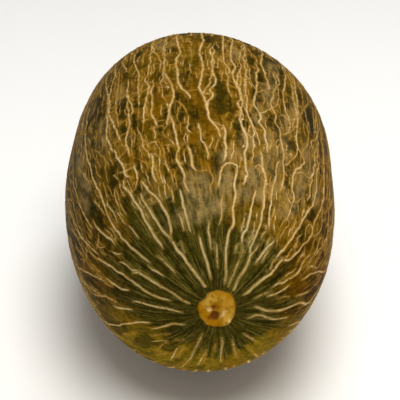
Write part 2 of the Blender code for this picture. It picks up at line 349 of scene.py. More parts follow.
    (2, ((105.4, 104.2), (105.5, 108.5), (106.3, 112.5), (105.7, 115.5), (106, 119), (106.6, 124), (106.6, 127), (107.2, 131), (109, 135), (110, 138.5), (109.5, 142), (109.3, 146))),
    (1, ((106.3, 112.5), (107.7, 116), (109, 119.3))),
    (2, ((113.2, 105.5), (113, 109), (114.4, 112), (115, 114.5), (116, 117), (116.5, 120))),
    (2, ((123, 119), (122.4, 122), (123, 125.5), (123.6, 129), (125, 132), (125.6, 135.5), (124.8, 138))),
    (2, ((124, 112.8), (125.4, 115.5), (126.4, 119), (126.6, 122), (127.3, 126), (128.5, 130), (127.5, 133.5), (126.4, 137))),
    (1, ((132.4, 130.5), (133, 135), (133.5, 139))),
    (1, ((112.8, 130), (115.9, 128.9), (118.1, 127.5))),
    (1, ((106.5, 117.3), (105.8, 122.4), (104.3, 126.8), (105, 131.1), (104.7, 134.7), (106.5, 138.4), (109.4, 141.3), (109.4, 147.1), (109, 152.1))),
    (1, ((111.6, 121), (114.5, 120.2), (116.6, 122.4), (117.7, 125.3))),
    (1, ((121, 131.5), (123.2, 131.5), (125.3, 133.3))),
    (1, ((122.4, 139.5), (125.3, 138.4), (128.2, 135.5), (130.4, 130.4), (133.3, 126))),
    (1, ((135.5, 156.5), (133.3, 157.9), (130.4, 155.8), (128.8, 156.5))),
    (1, ((109.4, 153.4), (112.3, 152.3), (114.5, 156.5))),
    (1, ((101.4, 141.3), (100.7, 146.3), (100, 150.6))),
    (0, ((89.1, 151.4), (90.5, 155), (92, 158.7), (90.5, 162.3), (91.6, 165.2))),
    (1, ((106.5, 128.9), (107.9, 132.6), (110.1, 136.2), (111.6, 139.8), (112.3, 144.2))),
    (1, ((123.9, 163.7), (125.3, 168.1), (127.5, 171))),
    (1, ((126.5, 170), (126, 172.5), (124.6, 176))),
    (1, ((131.1, 133.3), (133.3, 137.6), (133.7, 141), (132.6, 145))),
    (0, ((120.3, 171), (122.4, 169.5), (124.6, 166.6), (126.8, 168.1))),
    (0, ((95.5, 131), (96.7, 134))),
    (1, ((68.4, 153.8), (68.6, 157), (70.5, 161.4))),
    (0, ((39.7, 145.8), (42.4, 148), (44.2, 149.9), (45, 154.9))),
    (1, ((95.9, 228.6), (95.7, 232.5), (95.2, 236.6), (95.1, 239.4))),
    (0, ((100.4, 229.4), (101.1, 233), (101.8, 236.8))),
    (1, ((76.8, 232.4), (75, 235.2), (73.2, 238.4))),
    (0, ((71.8, 230), (69.3, 231.9), (66.4, 234.3))),
    (0, ((88.7, 233.6), (88.4, 236.6), (87.8, 239.6))),
    (0, ((106.8, 231.6), (109, 234.2), (111.2, 236))),
    (1, ((58.4, 136), (60.6, 140.1), (61.5, 144.2), (63.5, 147.5), (64.6, 149.6))),
)


# For each rank: half width, height (mm) and paleness, from and to.
WIDTHS = {
    3: (0.78, 0.98, 0.40, 0.48, 0.85, 1.00),
    2: (0.62, 0.84, 0.32, 0.42, 0.70, 1.00),
    1: (0.46, 0.60, 0.22, 0.30, 0.45, 0.85),
    0: (0.36, 0.45, 0.14, 0.20, 0.05, 0.40),
}
WIDE = 0.76                    # lines of this half width get shoulder rows
SHOULDER, EDGE = 0.60, 1.15    # where a wide line's rows of mesh points run, in half widths
NARROW_EDGE = 1.30             # and a narrow line's only pair
LINES = []   # dicts: theta, s, half (half width, mm), high (height, mm), pale, bold, wide


def add_line(theta, s, half, high, pale, bold=1):
    theta, s = np.asarray(theta, float), np.asarray(s, float)
    keep = (s > S_STEM + 0.3) & (s < S_BLOSSOM - 0.8)
    if keep.sum() < 3:
        return
    first, last = np.argmax(keep), len(keep) - np.argmax(keep[::-1])
    cut = slice(first, last)
    half = np.broadcast_to(half, s.shape)[cut]
    high = np.broadcast_to(high, s.shape)[cut]
    pale = np.broadcast_to(pale, s.shape)[cut]
    wide = bool(np.mean(half) >= WIDE)
    LINES.append(dict(theta=theta[cut], s=s[cut], half=half, high=high, pale=pale, bold=bold, wide=wide))


def path_length(theta, s):
    r = np.maximum(rho(s), 6.0)
    gap = np.hypot(np.diff(theta) * 0.5 * (r[1:] + r[:-1]), np.diff(s))
    return np.concatenate([[0.0], np.cumsum(np.maximum(gap, 1e-4))])


def curve(theta, s, step=0.8):
    """Even points along a smooth curve through a line's places."""
    at = path_length(theta, s)
    t = np.arange(0.0, at[-1], step)
    k = np.clip(np.searchsorted(at, t, side="right") - 1, 0, len(at) - 2)
    h = at[k + 1] - at[k]
    f = (t - at[k]) / h
    out = []
    for value in (theta, s):
        slope = np.gradient(value, at)
        out.append(
            (2 * f**3 - 3 * f**2 + 1) * value[k] + (f**3 - 2 * f**2 + f) * h * slope[k]
            + (3 * f**2 - 2 * f**3) * value[k + 1] + (f**3 - f**2) * h * slope[k + 1]
        )
    return out[0], out[1]


def sideways(theta, s, side):
    """Move a line's points across it by side, in mm."""
    r = np.maximum(rho(s), 6.0)
    tx, ts = np.gradient(theta) * r, np.gradient(s)
    size = np.maximum(np.hypot(tx, ts), 1e-9)
    return theta - ts / size * side / r, s + tx / size * side


def spacing(s):
    """Wanted distance between neighbouring lines round the body, mm."""
    return np.interp(s, [15, 30, 70, 120, 200, 300, S_END], [4.6, 5.2, 6.4, 7.0, 7.2, 6.2, 5.0])


def flow(theta, s):
    """Shared sideways drift of neighbouring lines, mm."""
    p = skin(theta, s) * np.array([1.0, 0.55, 1.0])
    rise = smooth(15.0, 85.0, s)
    return (2.6 * noise(p, 46.0, 0) + 1.3 * noise(p, 17.0, 1)) * rise


def widths(rng, rank, at, start, end):
    """Half width, height and paleness along a line; start and end are taper lengths."""
    low_w, high_w, low_h, high_h, low_p, high_p = WIDTHS[rank]
    share = smooth(0.0, start, at) ** 0.6 * smooth(0.0, end, at[-1] - at) ** 0.6
    share = share * (0.82 + 0.20 * wander(rng, at, 6.0) + 0.16 * wander(rng, at, 2.4))
    share = np.clip(share, 0.0, 1.1)
    half = rng.uniform(low_w, high_w) * (0.40 + 0.60 * share)
    return half, rng.uniform(low_h, high_h) * share, rng.uniform(low_p, high_p)


def placed_lines(rng):
    """Lay the lines seen in the photograph on the body, and lead those that reach
    the outline on round it."""
    flat = [place for _, places in SEEN_LINES for place in places]
    all_t, all_s = lay([p[0] for p in flat], [p[1] for p in flat])
    first = 0
    for rank, places in SEEN_LINES:
        theta, s = all_t[first:first + len(places)], all_s[first:first + len(places)]
        first += len(places)
        theta = np.unwrap(theta)
        if s[0] > s[-1]:
            theta, s = theta[::-1], s[::-1]
        theta, s = curve(theta, s)
        if len(s) < 4:
            continue
        at = path_length(theta, s)
        calm = 0.35 + 0.65 * smooth(15.0, 70.0, s)
        theta, s = sideways(theta, s, calm * (0.34 * wander(rng, at, 4.2) + 0.24 * wander(rng, at, 2.2)))
        end_taper = rng.uniform(4.0, 8.0)
        if rank >= 1 and s[-1] > 70.0 and facing(theta[-1], s[-1]) < 0.42:
            more = np.arange(s[-1], min(s[-1] + rng.uniform(20.0, 110.0), S_BLOSSOM - 2.0), 0.8)[1:]
            if len(more) > 8:
                back = min(10, len(s) - 1)
                slope = (theta[-1] - theta[-1 - back]) * rho(s[-1]) / max(s[-1] - s[-1 - back], 2.0)
                ahead = more - s[-1]
                drift = np.clip(slope, -0.6, 0.6) * 10.0 * (1.0 - np.exp(-ahead / 10.0))
                away = smooth(0.0, 10.0, ahead)
                drift = drift + away * (1.0 * wander(rng, more, 8.5) + 0.5 * wander(rng, more, 3.4))
                theta = np.concatenate([theta, theta[-1] + drift / rho(more)])
                s = np.concatenate([s, more])
                end_taper = 12.0
        at = path_length(theta, s)
        half, high, pale = widths(rng, rank, at, 2.5 if s[0] < 20.0 else rng.uniform(3.0, 6.0), end_taper)
        add_line(theta, s, half, high, pale, min(rank, 2))


def build_tracks(rng):
    count = 68
    order = np.zeros(count)
    ranks = sorted(range(128), key=lambda i: int(format(i, "07b")[::-1], 2))
    ranks = [r for r in ranks if r < count]
    for place, r in enumerate(ranks):
        order[place] = r
    room = TAU * TAB_R / spacing(TAB_S)
    tracks = []
    for i in range(count):
        theta0 = TAU * (i + rng.uniform(-0.28, 0.28)) / count
        allowed = order[i] + rng.uniform(-3.0, 3.0)
        inside = np.nonzero((room > max(allowed, 2.0)) & (TAB_S > S_STEM))[0]
        if len(inside) < 10:
            continue
        s0 = float(TAB_S[inside[0]]) + rng.uniform(0.0, 9.0)
        s1 = float(TAB_S[inside[-1]]) - rng.uniform(0.0, 12.0)
        s = np.arange(s0, min(s1, S_BLOSSOM - 1.0), 1.0)
        if len(s) < 20:
            continue
        rise = smooth(15.0, 80.0, s)
        theta = np.full_like(s, theta0)
        side = flow(theta, s)
        side = side + (0.25 + 0.85 * rise) * wander(rng, s, 8.5)
        side = side + (0.10 + 0.42 * rise) * wander(rng, s, 3.4)
        tracks.append(dict(s=s, theta=theta0 + side / np.maximum(rho(s), 14.0), born=s0))
    return tracks


def theta_at(track, s):
    return np.interp(s, track["s"], track["theta"])


class Clear:
    """Where the lines of the photographed side leave room for others."""

    def __init__(self, lines):
        self.count = sum(len(line["s"]) for line in lines)
        self.tree = kdtree.KDTree(max(self.count, 1))
        self.theta = np.concatenate([line["theta"] for line in lines])
        self.s = np.concatenate([line["s"] for line in lines])
        self.owner = np.concatenate([np.full(len(line["s"]), k) for k, line in enumerate(lines)])
        along = [np.stack([np.gradient(l["theta"]) * rho(l["s"]), np.gradient(l["s"])], 1) for l in lines]
        self.along = np.concatenate(along)
        self.along /= np.maximum(np.linalg.norm(self.along, axis=1, keepdims=True), 1e-9)
        self.places = skin(self.theta, self.s)
        for k, place in enumerate(self.places):
            self.tree.insert(place, k)
        self.tree.balance()

    def gap(self, theta, s):
        return np.array([self.tree.find(p)[2] for p in skin(theta, s)])

    def add(self, theta, s, half, high, pale, bold, gap, view=2.0):
        """Add a line where it is clear of the others and turned away by view."""
        free = (self.gap(theta, s) > gap) & (facing(theta, s) < view)
        half = np.broadcast_to(half, s.shape)
        high = np.broadcast_to(high, s.shape)
        k = 0
        while k < len(s):
            if not free[k]:
                k += 1
                continue
            e = k
            while e < len(s) and free[e]:
                e += 1
            if e - k >= 6:
                at = path_length(theta[k:e], s[k:e])
                fade = np.ones(e - k)
                if k > 0:
                    fade = fade * smooth(0.0, 3.5, at)
                if e < len(s):
                    fade = fade * smooth(0.0, 3.5, at[-1] - at)
                add_line(theta[k:e], s[k:e], half[k:e] * (0.4 + 0.6 * fade), high[k:e] * fade, pale, bold)
            k = e


HIDDEN = 0.15     # the listed lines end about where the skin faces the view less


def main_lines(rng, tracks, clear):
    for n, track in enumerate(tracks):
        s_all = track["s"]
        near = tracks[n - 1] if rng.random() < 0.5 else tracks[(n + 1) % len(tracks)]
        # a line that begins away from the stem may fork off its neighbour
        if track["born"] > 40.0 and near["s"][0] < track["born"] - 4.0 and rng.random() < 0.6:
            blend = smooth(0.0, rng.uniform(12.0, 24.0), s_all - s_all[0])
            other = theta_at(near, s_all)
            other = track["theta"] + (np.mod(other - track["theta"] + math.pi, TAU) - math.pi)
            track["theta"] = other * (1.0 - blend) + track["theta"] * blend
        s = s_all[0]
        shift = 0.0
        first = True
        while s < s_all[-1] - 8.0:
            long = rng.uniform(26.0, 90.0) if s > 60 else rng.uniform(40.0, 80.0)
            e = min(s + long, s_all[-1])
            u = np.arange(s, e, 1.0)
            if len(u) < 6:
                break
            theta = theta_at(track, u) + shift / np.maximum(rho(u), 14.0)
            kind = rng.random()
            rank = 3 if kind < 0.06 else 2 if kind < 0.62 else 1
            at = path_length(theta, u)
            start = rng.uniform(5.0, 12.0) if first else rng.uniform(3.0, 7.0)
            half, high, pale = widths(rng, rank, at, start, rng.uniform(4.0, 12.0))
            clear.add(theta, u, half, high, pale, min(rank, 2), 2.6, HIDDEN)
            if rng.random() < 0.66:
                s = e - rng.uniform(3.0, 11.0)
                shift = rng.choice([-1.0, 1.0]) * rng.uniform(0.9, 2.3) if abs(shift) < 0.5 else 0.0
            else:
                s = e + rng.uniform(-1.0, 7.0)
            first = False


def islands(rng, tracks, clear):
    """Second strands that part from a line and rejoin it, round narrow lozenges."""
    for track in tracks:
        s = max(track["s"][0] + 20.0, 55.0) + rng.uniform(0.0, 20.0)
        while s < track["s"][-1] - 14.0:
            long = rng.uniform(9.0, 26.0)
            u = np.arange(s, min(s + long, track["s"][-1]), 1.0)
            if len(u) > 6:
                t = np.linspace(0.0, 1.0, len(u))
                wide = rng.choice([-1.0, 1.0]) * rng.uniform(1.8, 3.4)
                bow = wide * np.sin(math.pi * t) ** 0.8 + 0.35 * wander(rng, u, 3.5)
                share = 0.75 + 0.25 * wander(rng, u, 5.0)
                clear.add(theta_at(track, u) + bow / np.maximum(rho(u), 14.0), u,
                          rng.uniform(0.34, 0.52) * share, rng.uniform(0.15, 0.28) * share,
                          rng.uniform(0.2, 0.8), 1, 1.2, HIDDEN)
            s += long + rng.uniform(3.0, 34.0)


def links(rng, tracks, clear):
    """Short slanting strands between neighbouring lines of the hidden side."""
    for n, track in enumerate(tracks):
        other = tracks[(n + 1) % len(tracks)]
        lo = max(track["s"][0], other["s"][0], 46.0)
        hi = min(track["s"][-1], other["s"][-1])
        s = lo + rng.uniform(0.0, 22.0)
        while s < hi - 12.0:
            rise = rng.uniform(3.0, 12.0) * rng.choice([-1.0, 1.0])
            a, b = s, np.clip(s + rise, lo, hi)
            ta, tb = float(theta_at(track, a)), float(theta_at(other, b))
            tb = ta + (tb - ta + math.pi) % TAU - math.pi
            wide = abs(tb - ta) * rho(0.5 * (a + b))
            if 2.5 < wide < 11.0:
                count = max(8, int((wide + abs(b - a)) / 0.7))
                t = np.linspace(0.0, 1.0, count)
                if rng.random() < 0.35:      # some only reach part of the way
                    t = t * rng.uniform(0.35, 0.7)
                path_s = a + (b - a) * t
                side = 0.45 * wander(rng, 10.0 * t + 5.0, 2.5)
                theta = ta + (tb - ta) * t**rng.uniform(0.7, 1.4) + side / rho(path_s)
                share = 0.75 + 0.25 * wander(rng, 10.0 * t + 3.0, 2.2)
                clear.add(theta, path_s, rng.uniform(0.30, 0.46) * share,
                          rng.uniform(0.12, 0.24) * share, rng.uniform(0.1, 0.7), 1, 1.0, HIDDEN)
            s += rng.uniform(9.0, 30.0) * float(np.interp(s, [46, 90, 160, 300], [2.4, 1.2, 0.9, 0.9]))


def seen_links(rng, clear, wanted):
    """Short strands between neighbouring lines of the photographed side."""
    middles = []
    for _ in range(wanted * 14):
        if len(middles) >= wanted:
            break
        i = int(rng.integers(clear.count))
        if clear.s[i] < 74.0 or clear.s[i] > 290.0:
            continue
        near = []
        for _, j, gap in clear.tree.find_range(clear.places[i], 8.0):
            if clear.owner[j] == clear.owner[i] or gap < 2.4:
                continue
            step = np.array([
                ((clear.theta[j] - clear.theta[i] + math.pi) % TAU - math.pi) * rho(clear.s[i]),
                clear.s[j] - clear.s[i],
            ])
            if abs(step @ clear.along[i]) < 0.80 * np.linalg.norm(step):
                near.append((j, step))
        if not near:
            continue
        j, step = near[int(rng.integers(len(near)))]
        middle = 0.5 * (clear.places[i] + clear.places[j])
        if clear.tree.find(middle)[2] < 1.0 or any(np.linalg.norm(middle - m) < 2.8 for m in middles):
            continue
        middles.append(middle)
        count = max(8, int(np.hypot(*step) / 0.5))
        t = np.linspace(0.0, 1.0, count)
        if rng.random() < 0.45:
            t = t * rng.uniform(0.45, 0.75)
        s = clear.s[i] + step[1] * t**rng.uniform(0.7, 1.4)
        theta = clear.theta[i] + step[0] * t / rho(clear.s[i])
        side = (0.40 * wander(rng, 9.0 * t + 4.0, 2.2) + 0.2 * wander(rng, 9.0 * t + 4.0, 1.0)) * np.sin(math.pi * t)
        theta, s = sideways(theta, s, side)
        share = 0.78 + 0.22 * wander(rng, 10.0 * t + 3.0, 2.2)
        add_line(theta, s, rng.uniform(0.28, 0.42) * share, rng.uniform(0.12, 0.22) * share,
                 rng.uniform(0.05, 0.6), 0)


def thin_lines(rng, clear):
    """Fine wavy strands in patches between the main lines."""
    count = 200
    for i in range(count):
        theta0 = TAU * (i + rng.uniform(-0.5, 0.5)) / count
        s = 26.0 + rng.uniform(0.0, 30.0)
        while s < S_BLOSSOM - 12.0:
            long = rng.uniform(5.0, 20.0)
            u = np.arange(s, min(s + long, S_BLOSSOM - 2.0), 0.8)
            middle = skin(np.array(theta0), np.array(s + long / 2))
            patch = float(noise(middle * np.array([1, 0.6, 1]), 30.0, 2))
            crowd = float(np.interp(s, [28, 60, 100], [-0.35, 0.10, 0.34]))
            crowd += 0.08 if facing(theta0, s + long / 2) > HIDDEN else -0.14
            if -math.cos(theta0) > 0.80 and 70.0 < s < 210.0:
                crowd -= 0.35
            if math.sin(theta0) < -0.3 and s < 120.0:
                crowd -= 0.25
            if len(u) > 6 and patch + crowd > -0.02 and rng.random() < min(1.0, rho(s) / 55.0):
                theta = np.full_like(u, theta0)
                calm = float(np.interp(s, [40.0, 120.0, 220.0], [1.0, 1.5, 2.2]))
                side = flow(theta, u) + 1.2 * wander(rng, u, 6.0 * calm) + 0.5 * wander(rng, u, 2.6 * calm)
                at = u - u[0]
                share = smooth(0.0, 3.0, at) * smooth(0.0, 3.0, at[-1] - at)
                clear.add(theta + side / rho(u), u, rng.uniform(0.26, 0.40) * (0.6 + 0.4 * share),
                          rng.uniform(0.12, 0.20) * share, rng.uniform(0.0, 0.75), 0, 1.05)
            s += long + rng.uniform(1.0, 18.0)


def resample(line, step):
    """Even points along a line, with its across direction in (theta, s)."""
    r = rho(line["s"])
    dx = np.diff(line["theta"]) * 0.5 * (r[1:] + r[:-1])
    ds = np.diff(line["s"])
    along = np.concatenate([[0.0], np.cumsum(np.hypot(dx, ds))])
    if along[-1] < 2.0 * step:
        return None
    n = max(3, int(round(along[-1] / step)) + 1)
    t = np.linspace(0.0, along[-1], n)
    out = {k: np.interp(t, along, line[k]) for k in ("theta", "s", "half", "high", "pale")}
    r = rho(out["s"])
    tx = np.gradient(out["theta"]) * r
    ts = np.gradient(out["s"])
    size = np.maximum(np.hypot(tx, ts), 1e-9)
    out["tx"], out["ts"] = tx / size, ts / size
    out["r"] = r
    return out


def offset(run, across):
    """Points beside a line, at a signed distance across it in mm."""
    return run["theta"] - run["ts"] * across / run["r"], run["s"] + run["tx"] * across


def mesh_points(rng, step):
    """(theta, s) of every mesh point between the caps, most important first."""
    groups = []
    for line in sorted(LINES, key=lambda l: -l["bold"]):
        run = resample(line, step * (1.0 if line["bold"] else 1.32))
        if run is None:
            continue
        rank = 0 if line["bold"] == 2 else 1
        groups.append((rank, run["theta"], run["s"]))
        for sign in (-1.0, 1.0):
            if line["wide"]:
                full = np.maximum(run["half"], WIDE - 0.06)
                groups.append((2, *offset(run, sign * SHOULDER * full)))
                groups.append((3, *offset(run, sign * EDGE * full)))
            else:
                groups.append((4, *offset(run, sign * np.maximum(NARROW_EDGE * run["half"], 0.46))))
    groups.sort(key=lambda g: g[0])
    theta = np.concatenate([g[1] for g in groups])
    s = np.concatenate([g[2] for g in groups])
    keep = (s > S_STEM + 0.35) & (s < S_BLOSSOM - 0.35)
    theta, s = theta[keep], s[keep]
    # even base points between the lines
    rows = []
    at = S_STEM
    k = 0
    while at < S_BLOSSOM:
        size = float(np.interp(at, [S_STEM, 24.0, 60.0, S_BLOSSOM - 30, S_BLOSSOM], [0.75, 1.35, 2.7, 2.7, 1.0]))
        at += size * 0.86
        if at > S_BLOSSOM - 0.5:
            break
        n = int(round(TAU * float(rho(at)) / size))
        row = (np.arange(n) + 0.5 * (k % 2) + rng.uniform(-0.16, 0.16, n)) * TAU / n
        rows.append((row, at + rng.uniform(-0.14, 0.14, n) * size))
        k += 1
    base_t = np.concatenate([r[0] for r in rows])
    base_s = np.concatenate([r[1] for r in rows])
    n_line = len(theta)
    theta = np.concatenate([theta, base_t])
    s = np.concatenate([s, base_s])
    places = skin(theta, s)
    tree = kdtree.KDTree(len(places))
    for i, p in enumerate(places):
        tree.insert(p, i)
    tree.balance()
    alive = np.ones(len(places), bool)
    size_here = np.interp(s, [S_STEM, 24.0, 60.0], [0.40, 0.70, 0.94])
    for i in range(len(places)):
        if not alive[i]:
            continue
        reach = 0.36 if i < n_line else 0.30
        for _, j, gap in tree.find_range(places[i], 0.95):
            if j <= i or not alive[j]:
                continue
            limit = reach if j < n_line else (size_here[j] if i < n_line else 0.30)
            if gap < limit:
                alive[j] = False
    return theta[alive], s[alive]


def wrap(theta):
    """The seam runs underneath, at a quarter turn below +X."""
    return np.mod(theta + 0.5 * math.pi, TAU) - 0.5 * math.pi


def triangles_between(theta, q):
    """Delaunay triangles on the tube (theta, q), which is a conformal map of the body."""
    margin = 0.16
    n = len(theta)
    left = np.nonzero(theta < -0.5 * math.pi + margin)[0]
    right = np.nonzero(theta > 1.5 * math.pi - margin)[0]
    all_t = np.concatenate([theta, theta[left] + TAU, theta[right] - TAU])
    all_q = np.concatenate([q, q[left], q[right]])
    source = np.concatenate([np.arange(n), left, right])
    flat = [Vector((float(a), float(b))) for a, b in zip(all_t, all_q)]
    verts, _, faces, orig, _, _ = delaunay_2d_cdt(flat, [], [], 0, 1e-7, True)
    assert len(verts) == len(flat), "points merged"
    back = np.array([o[0] for o in orig])
    tris = back[np.array([f[:] for f in faces])]
    middle = all_t[tris].mean(1)
    kept = tris[(middle >= -0.5 * math.pi) & (middle < 1.5 * math.pi)]
    # counter-clockwise in (theta, q) is seen from inside the body: turn it round
    a, b, c = (np.stack([all_t[kept[:, k]], all_q[kept[:, k]]], 1) for k in range(3))
    area = (b[:, 0] - a[:, 0]) * (c[:, 1] - a[:, 1]) - (b[:, 1] - a[:, 1]) * (c[:, 0] - a[:, 0])
    kept = np.where((area > 0)[:, None], kept[:, ::-1], kept)
    turned = all_t[kept]
    return source[kept], turned


def net_field(theta, s):
    """Height and colour masks of the netting at each mesh point."""
    places = skin(theta, s)
    tree = kdtree.KDTree(len(places))
    for i, p in enumerate(places):
        tree.insert(p, i)
    tree.balance()
    high = np.zeros(len(places))
    cork = np.zeros(len(places))
    pale = np.zeros(len(places))
    near = np.full(len(places), 9.0)
    for line in LINES:
        run = resample(line, 0.9)
        if run is None:
            continue
        centre = skin(run["theta"], run["s"])
        tangent = np.gradient(centre, axis=0)
        tangent /= np.maximum(np.linalg.norm(tangent, axis=1, keepdims=True), 1e-9)
        for p, t, half, tall, tone in zip(centre, tangent, run["half"], run["high"], run["pale"]):
            reach = EDGE * max(half, WIDE - 0.06) if line["wide"] else max(NARROW_EDGE * half, 0.46)
            for co, j, gap in tree.find_range(p, max(2.4, reach + 0.6)):
                d = co - Vector(p)
                along = d[0] * t[0] + d[1] * t[1] + d[2] * t[2]
                across = math.sqrt(max(gap * gap - along * along, 0.0))
                beyond = max(abs(along) - 0.55, 0.0)
                across = math.hypot(across, beyond)
                if across < near[j]:
                    near[j] = across
                x = across / reach
                if x < 1.0:
                    rise = tall * (1.0 - x**2.2 if line["wide"] else 1.0 - x)
                    if rise > high[j]:
                        high[j] = rise
                    mask = min(1.0, (1.0 - x) / (1.0 - SHOULDER / EDGE)) if line["wide"] else 1.0 - x
                    mask *= min(1.0, 0.25 + tall / 0.16)
                    if mask > cork[j]:
                        cork[j] = mask
                        pale[j] = tone
    return high, cork, pale, near


# ---- relief ---------------------------------------------------------------------
def ground(theta, s):
    """Skin relief between the netting: slow swells, and radial wrinkles at the stem."""
    p = skin(theta, s)
    swell = 0.13 * noise(p, 34.0, 3) + 0.07 * noise(p * np.array([1, 0.6, 1]), 11.0, 4)
    ring = np.stack([np.cos(theta), np.sin(theta)], -1)
    fine = np.concatenate([ring * 11.0, np.asarray(s)[..., None] / 26.0], -1)
    coarse = np.concatenate([ring * 5.0, np.asarray(s)[..., None] / 40.0], -1)
    fade = smooth(8.0, 13.0, rho(s)) * (1.0 - smooth(20.0, 62.0, s))
    folds = 0.12 * noise(fine, 1.0, 5) + 0.14 * noise(coarse, 1.0, 1)
    return swell - 0.06 + folds * fade


# The stem scar's outline: degrees round it and its radius there in mm.
SCAR_TURN = (0, 27, 51, 70, 93, 115, 135, 160, 180, 200, 225, 245, 268, 290, 314, 340)
SCAR_REACH = (9.2, 10.0, 11.5, 10.9, 10.8, 10.1, 8.9, 9.4, 9.3, 9.1, 9.0, 9.7, 9.4, 9.9, 9.8, 9.3)


def scar_outline(theta):
    ring = np.stack([np.cos(theta), np.sin(theta), 0.0 * theta], -1)
    turn = np.concatenate([np.array(SCAR_TURN) - 360.0, SCAR_TURN, np.array(SCAR_TURN) + 360.0])
    reach = np.interp(np.degrees(theta) % 360.0, turn, SCAR_REACH * 3)
    return reach + 0.25 * noise(ring * 5.0, 1.0, 2)


def spot(x, z, x0, z0, wide, tall, turn=0.0):
    """A soft round spot: 1 in its middle, 0.37 at its half width and half height."""
    c, d = math.cos(turn), math.sin(turn)
    a = ((x - x0) * c + (z - z0) * d) / wide
    b = (-(x - x0) * d + (z - z0) * c) / tall
    return np.exp(-(a * a + b * b))


def stem_scar(theta, s):
    """Relief of the stem scar over the skin, and its colour masks."""
    r = rho(s)
    x, z = r * np.cos(theta), r * np.sin(theta)
    share = r / scar_outline(theta)
    p = np.stack([x, z, 0.0 * x], -1)
    wx = x + 0.9 * noise(p, 3.2, 0) + 0.35 * noise(p, 1.4, 2)
    wz = z + 0.9 * noise(p, 3.4, 3) + 0.35 * noise(p, 1.5, 5)
    disc = 1.0 - smooth(0.86, 1.02, share)
    crust = 0.22 * noise(p, 3.1, 0) + 0.15 * noise(p, 1.3, 1) + 0.16 * (1.0 - share**2)
    ring = np.stack([np.cos(theta) * 4.2, np.sin(theta) * 4.2, r / 9.0], -1)
    cracks = -0.20 * smooth(0.25, 0.75, noise(ring, 1.0, 3)) * smooth(0.35, 0.7, share)
    pit = np.maximum(0.70 * spot(wx, wz, -1.1, 1.6, 1.7, 1.9), spot(wx, wz, -0.9, -3.0, 2.4, 2.4))
    pit = np.minimum(1.0, 1.15 * pit)
    horn = spot(wx, wz, -3.3, 1.1, 1.5, 0.75, -0.5) + spot(wx, wz, 2.9, -1.3, 0.9, 1.9, -0.15)
    fleck = spot(x, z, 6.5, -5.7, 0.9, 1.25, 0.3)
    hole = spot(x, z, 4.9, -6.5, 0.8, 0.7)
    moat = -0.22 * np.exp(-(((share - 1.08) / 0.06) ** 2))
    lift = disc * (SCAR_HEIGHT + crust + cracks + 0.30 * horn + 0.5 * fleck - 0.5 * hole)
    lift = lift - 2.2 * pit * disc + moat
    bright = np.clip(0.8 * horn + fleck, 0.0, 1.0) * disc
    dark = np.clip(np.maximum(pit, 0.8 * hole), 0.0, 1.0)
    return lift, 1.0 - smooth(0.94, 1.03, share), dark, bright


def blossom_scar(theta, s):
    r = rho(s)
    p = np.stack([r * np.cos(theta), r * np.sin(theta), 0.0 * r], -1)
    share = r / (5.6 * (1.0 + 0.07 * noise(p, 5.0, 2)))
    disc = 1.0 - smooth(0.68, 1.0, share)
    dip = 1.0 - smooth(0.0, 0.5, share)
    lift = disc * (0.42 + 0.12 * noise(p, 1.5, 3)) - 0.45 * dip - 0.12 * np.exp(-(((share - 1.12) / 0.1) ** 2))
    return lift, 1.0 - smooth(0.9, 1.05, share), dip


# ---- soft patches of colour -------------------------------------------------------
# Dark green and golden patches of the photographed side, placed one by one: the middle
# and the half width and half height, in the photograph's 400 x 400 frame.
GREEN_PATCHES = (
    (62, 204, 4.5, 2.5), (74, 193, 3.5, 4), (55, 191, 4, 1.5), (45, 184, 4, 2.5), (44, 212, 3, 2),
    (56, 217.5, 3, 1.5), (55, 194, 2.5, 2), (79, 203, 3, 4), (95, 205, 4, 3), (109, 202, 4, 2.5),
    (91, 196, 1.5, 5), (64, 158.5, 2.5, 4), (56, 141.5, 2, 2.5), (53, 128.5, 2.5, 4), (53, 137.5, 2, 2),
    (43, 130, 2.5, 7), (41, 145, 3, 6), (34, 152, 2, 8), (56, 175, 2.5, 5), (64, 185, 2.5, 4),
    (39, 171, 1.5, 4), (71, 104, 2.5, 3), (79, 108, 2.5, 2.5), (79, 114, 2.5, 2), (78, 131.5, 2.5, 3),
    (93, 101.5, 3, 2), (94, 117, 2.5, 2.5), (95, 122, 2.5, 3), (95.5, 128, 3.5, 2.5), (103, 134.5, 2, 4),
    (110, 115.5, 3, 3.5), (114.3, 121.7, 2, 1.8), (116.5, 131.5, 2.3, 2), (109.5, 133.5, 2, 2),
    (120, 117, 2.5, 3), (125, 121, 1.5, 3), (130, 124, 2, 4), (134, 136, 2, 5), (112.5, 157.5, 1.5, 2.5),
    (107, 164.5, 3, 3), (116, 151.5, 2, 2.5), (108, 186, 2.3, 4), (109, 180.5, 1.5, 2.5),
    (103, 183, 1.5, 4), (95, 186, 2, 6), (88, 187, 1.5, 5), (131, 182.5, 3, 3.5),
    (60, 166, 3, 5), (47, 161, 2.5, 6), (71, 176, 2.5, 6), (67, 165, 2, 4), (51, 154, 2, 3),
    (50, 224, 5, 3), (62, 230, 6, 2.5), (72, 231, 5, 3),
    (36, 128, 3, 9), (35, 160, 2.5, 9), (52, 112, 3, 4), (46, 118, 2.5, 5), (69, 116, 2, 5),
    (117, 104, 3, 4), (122, 110, 3, 4), (118, 124, 2.5, 3), (112, 122, 2.5, 2.5), (128, 140, 2, 3),
    (40, 186, 3, 3), (50, 207.5, 3, 2), (68, 219, 5, 2), (84, 205, 2, 3), (119, 189, 2.5, 3),
)
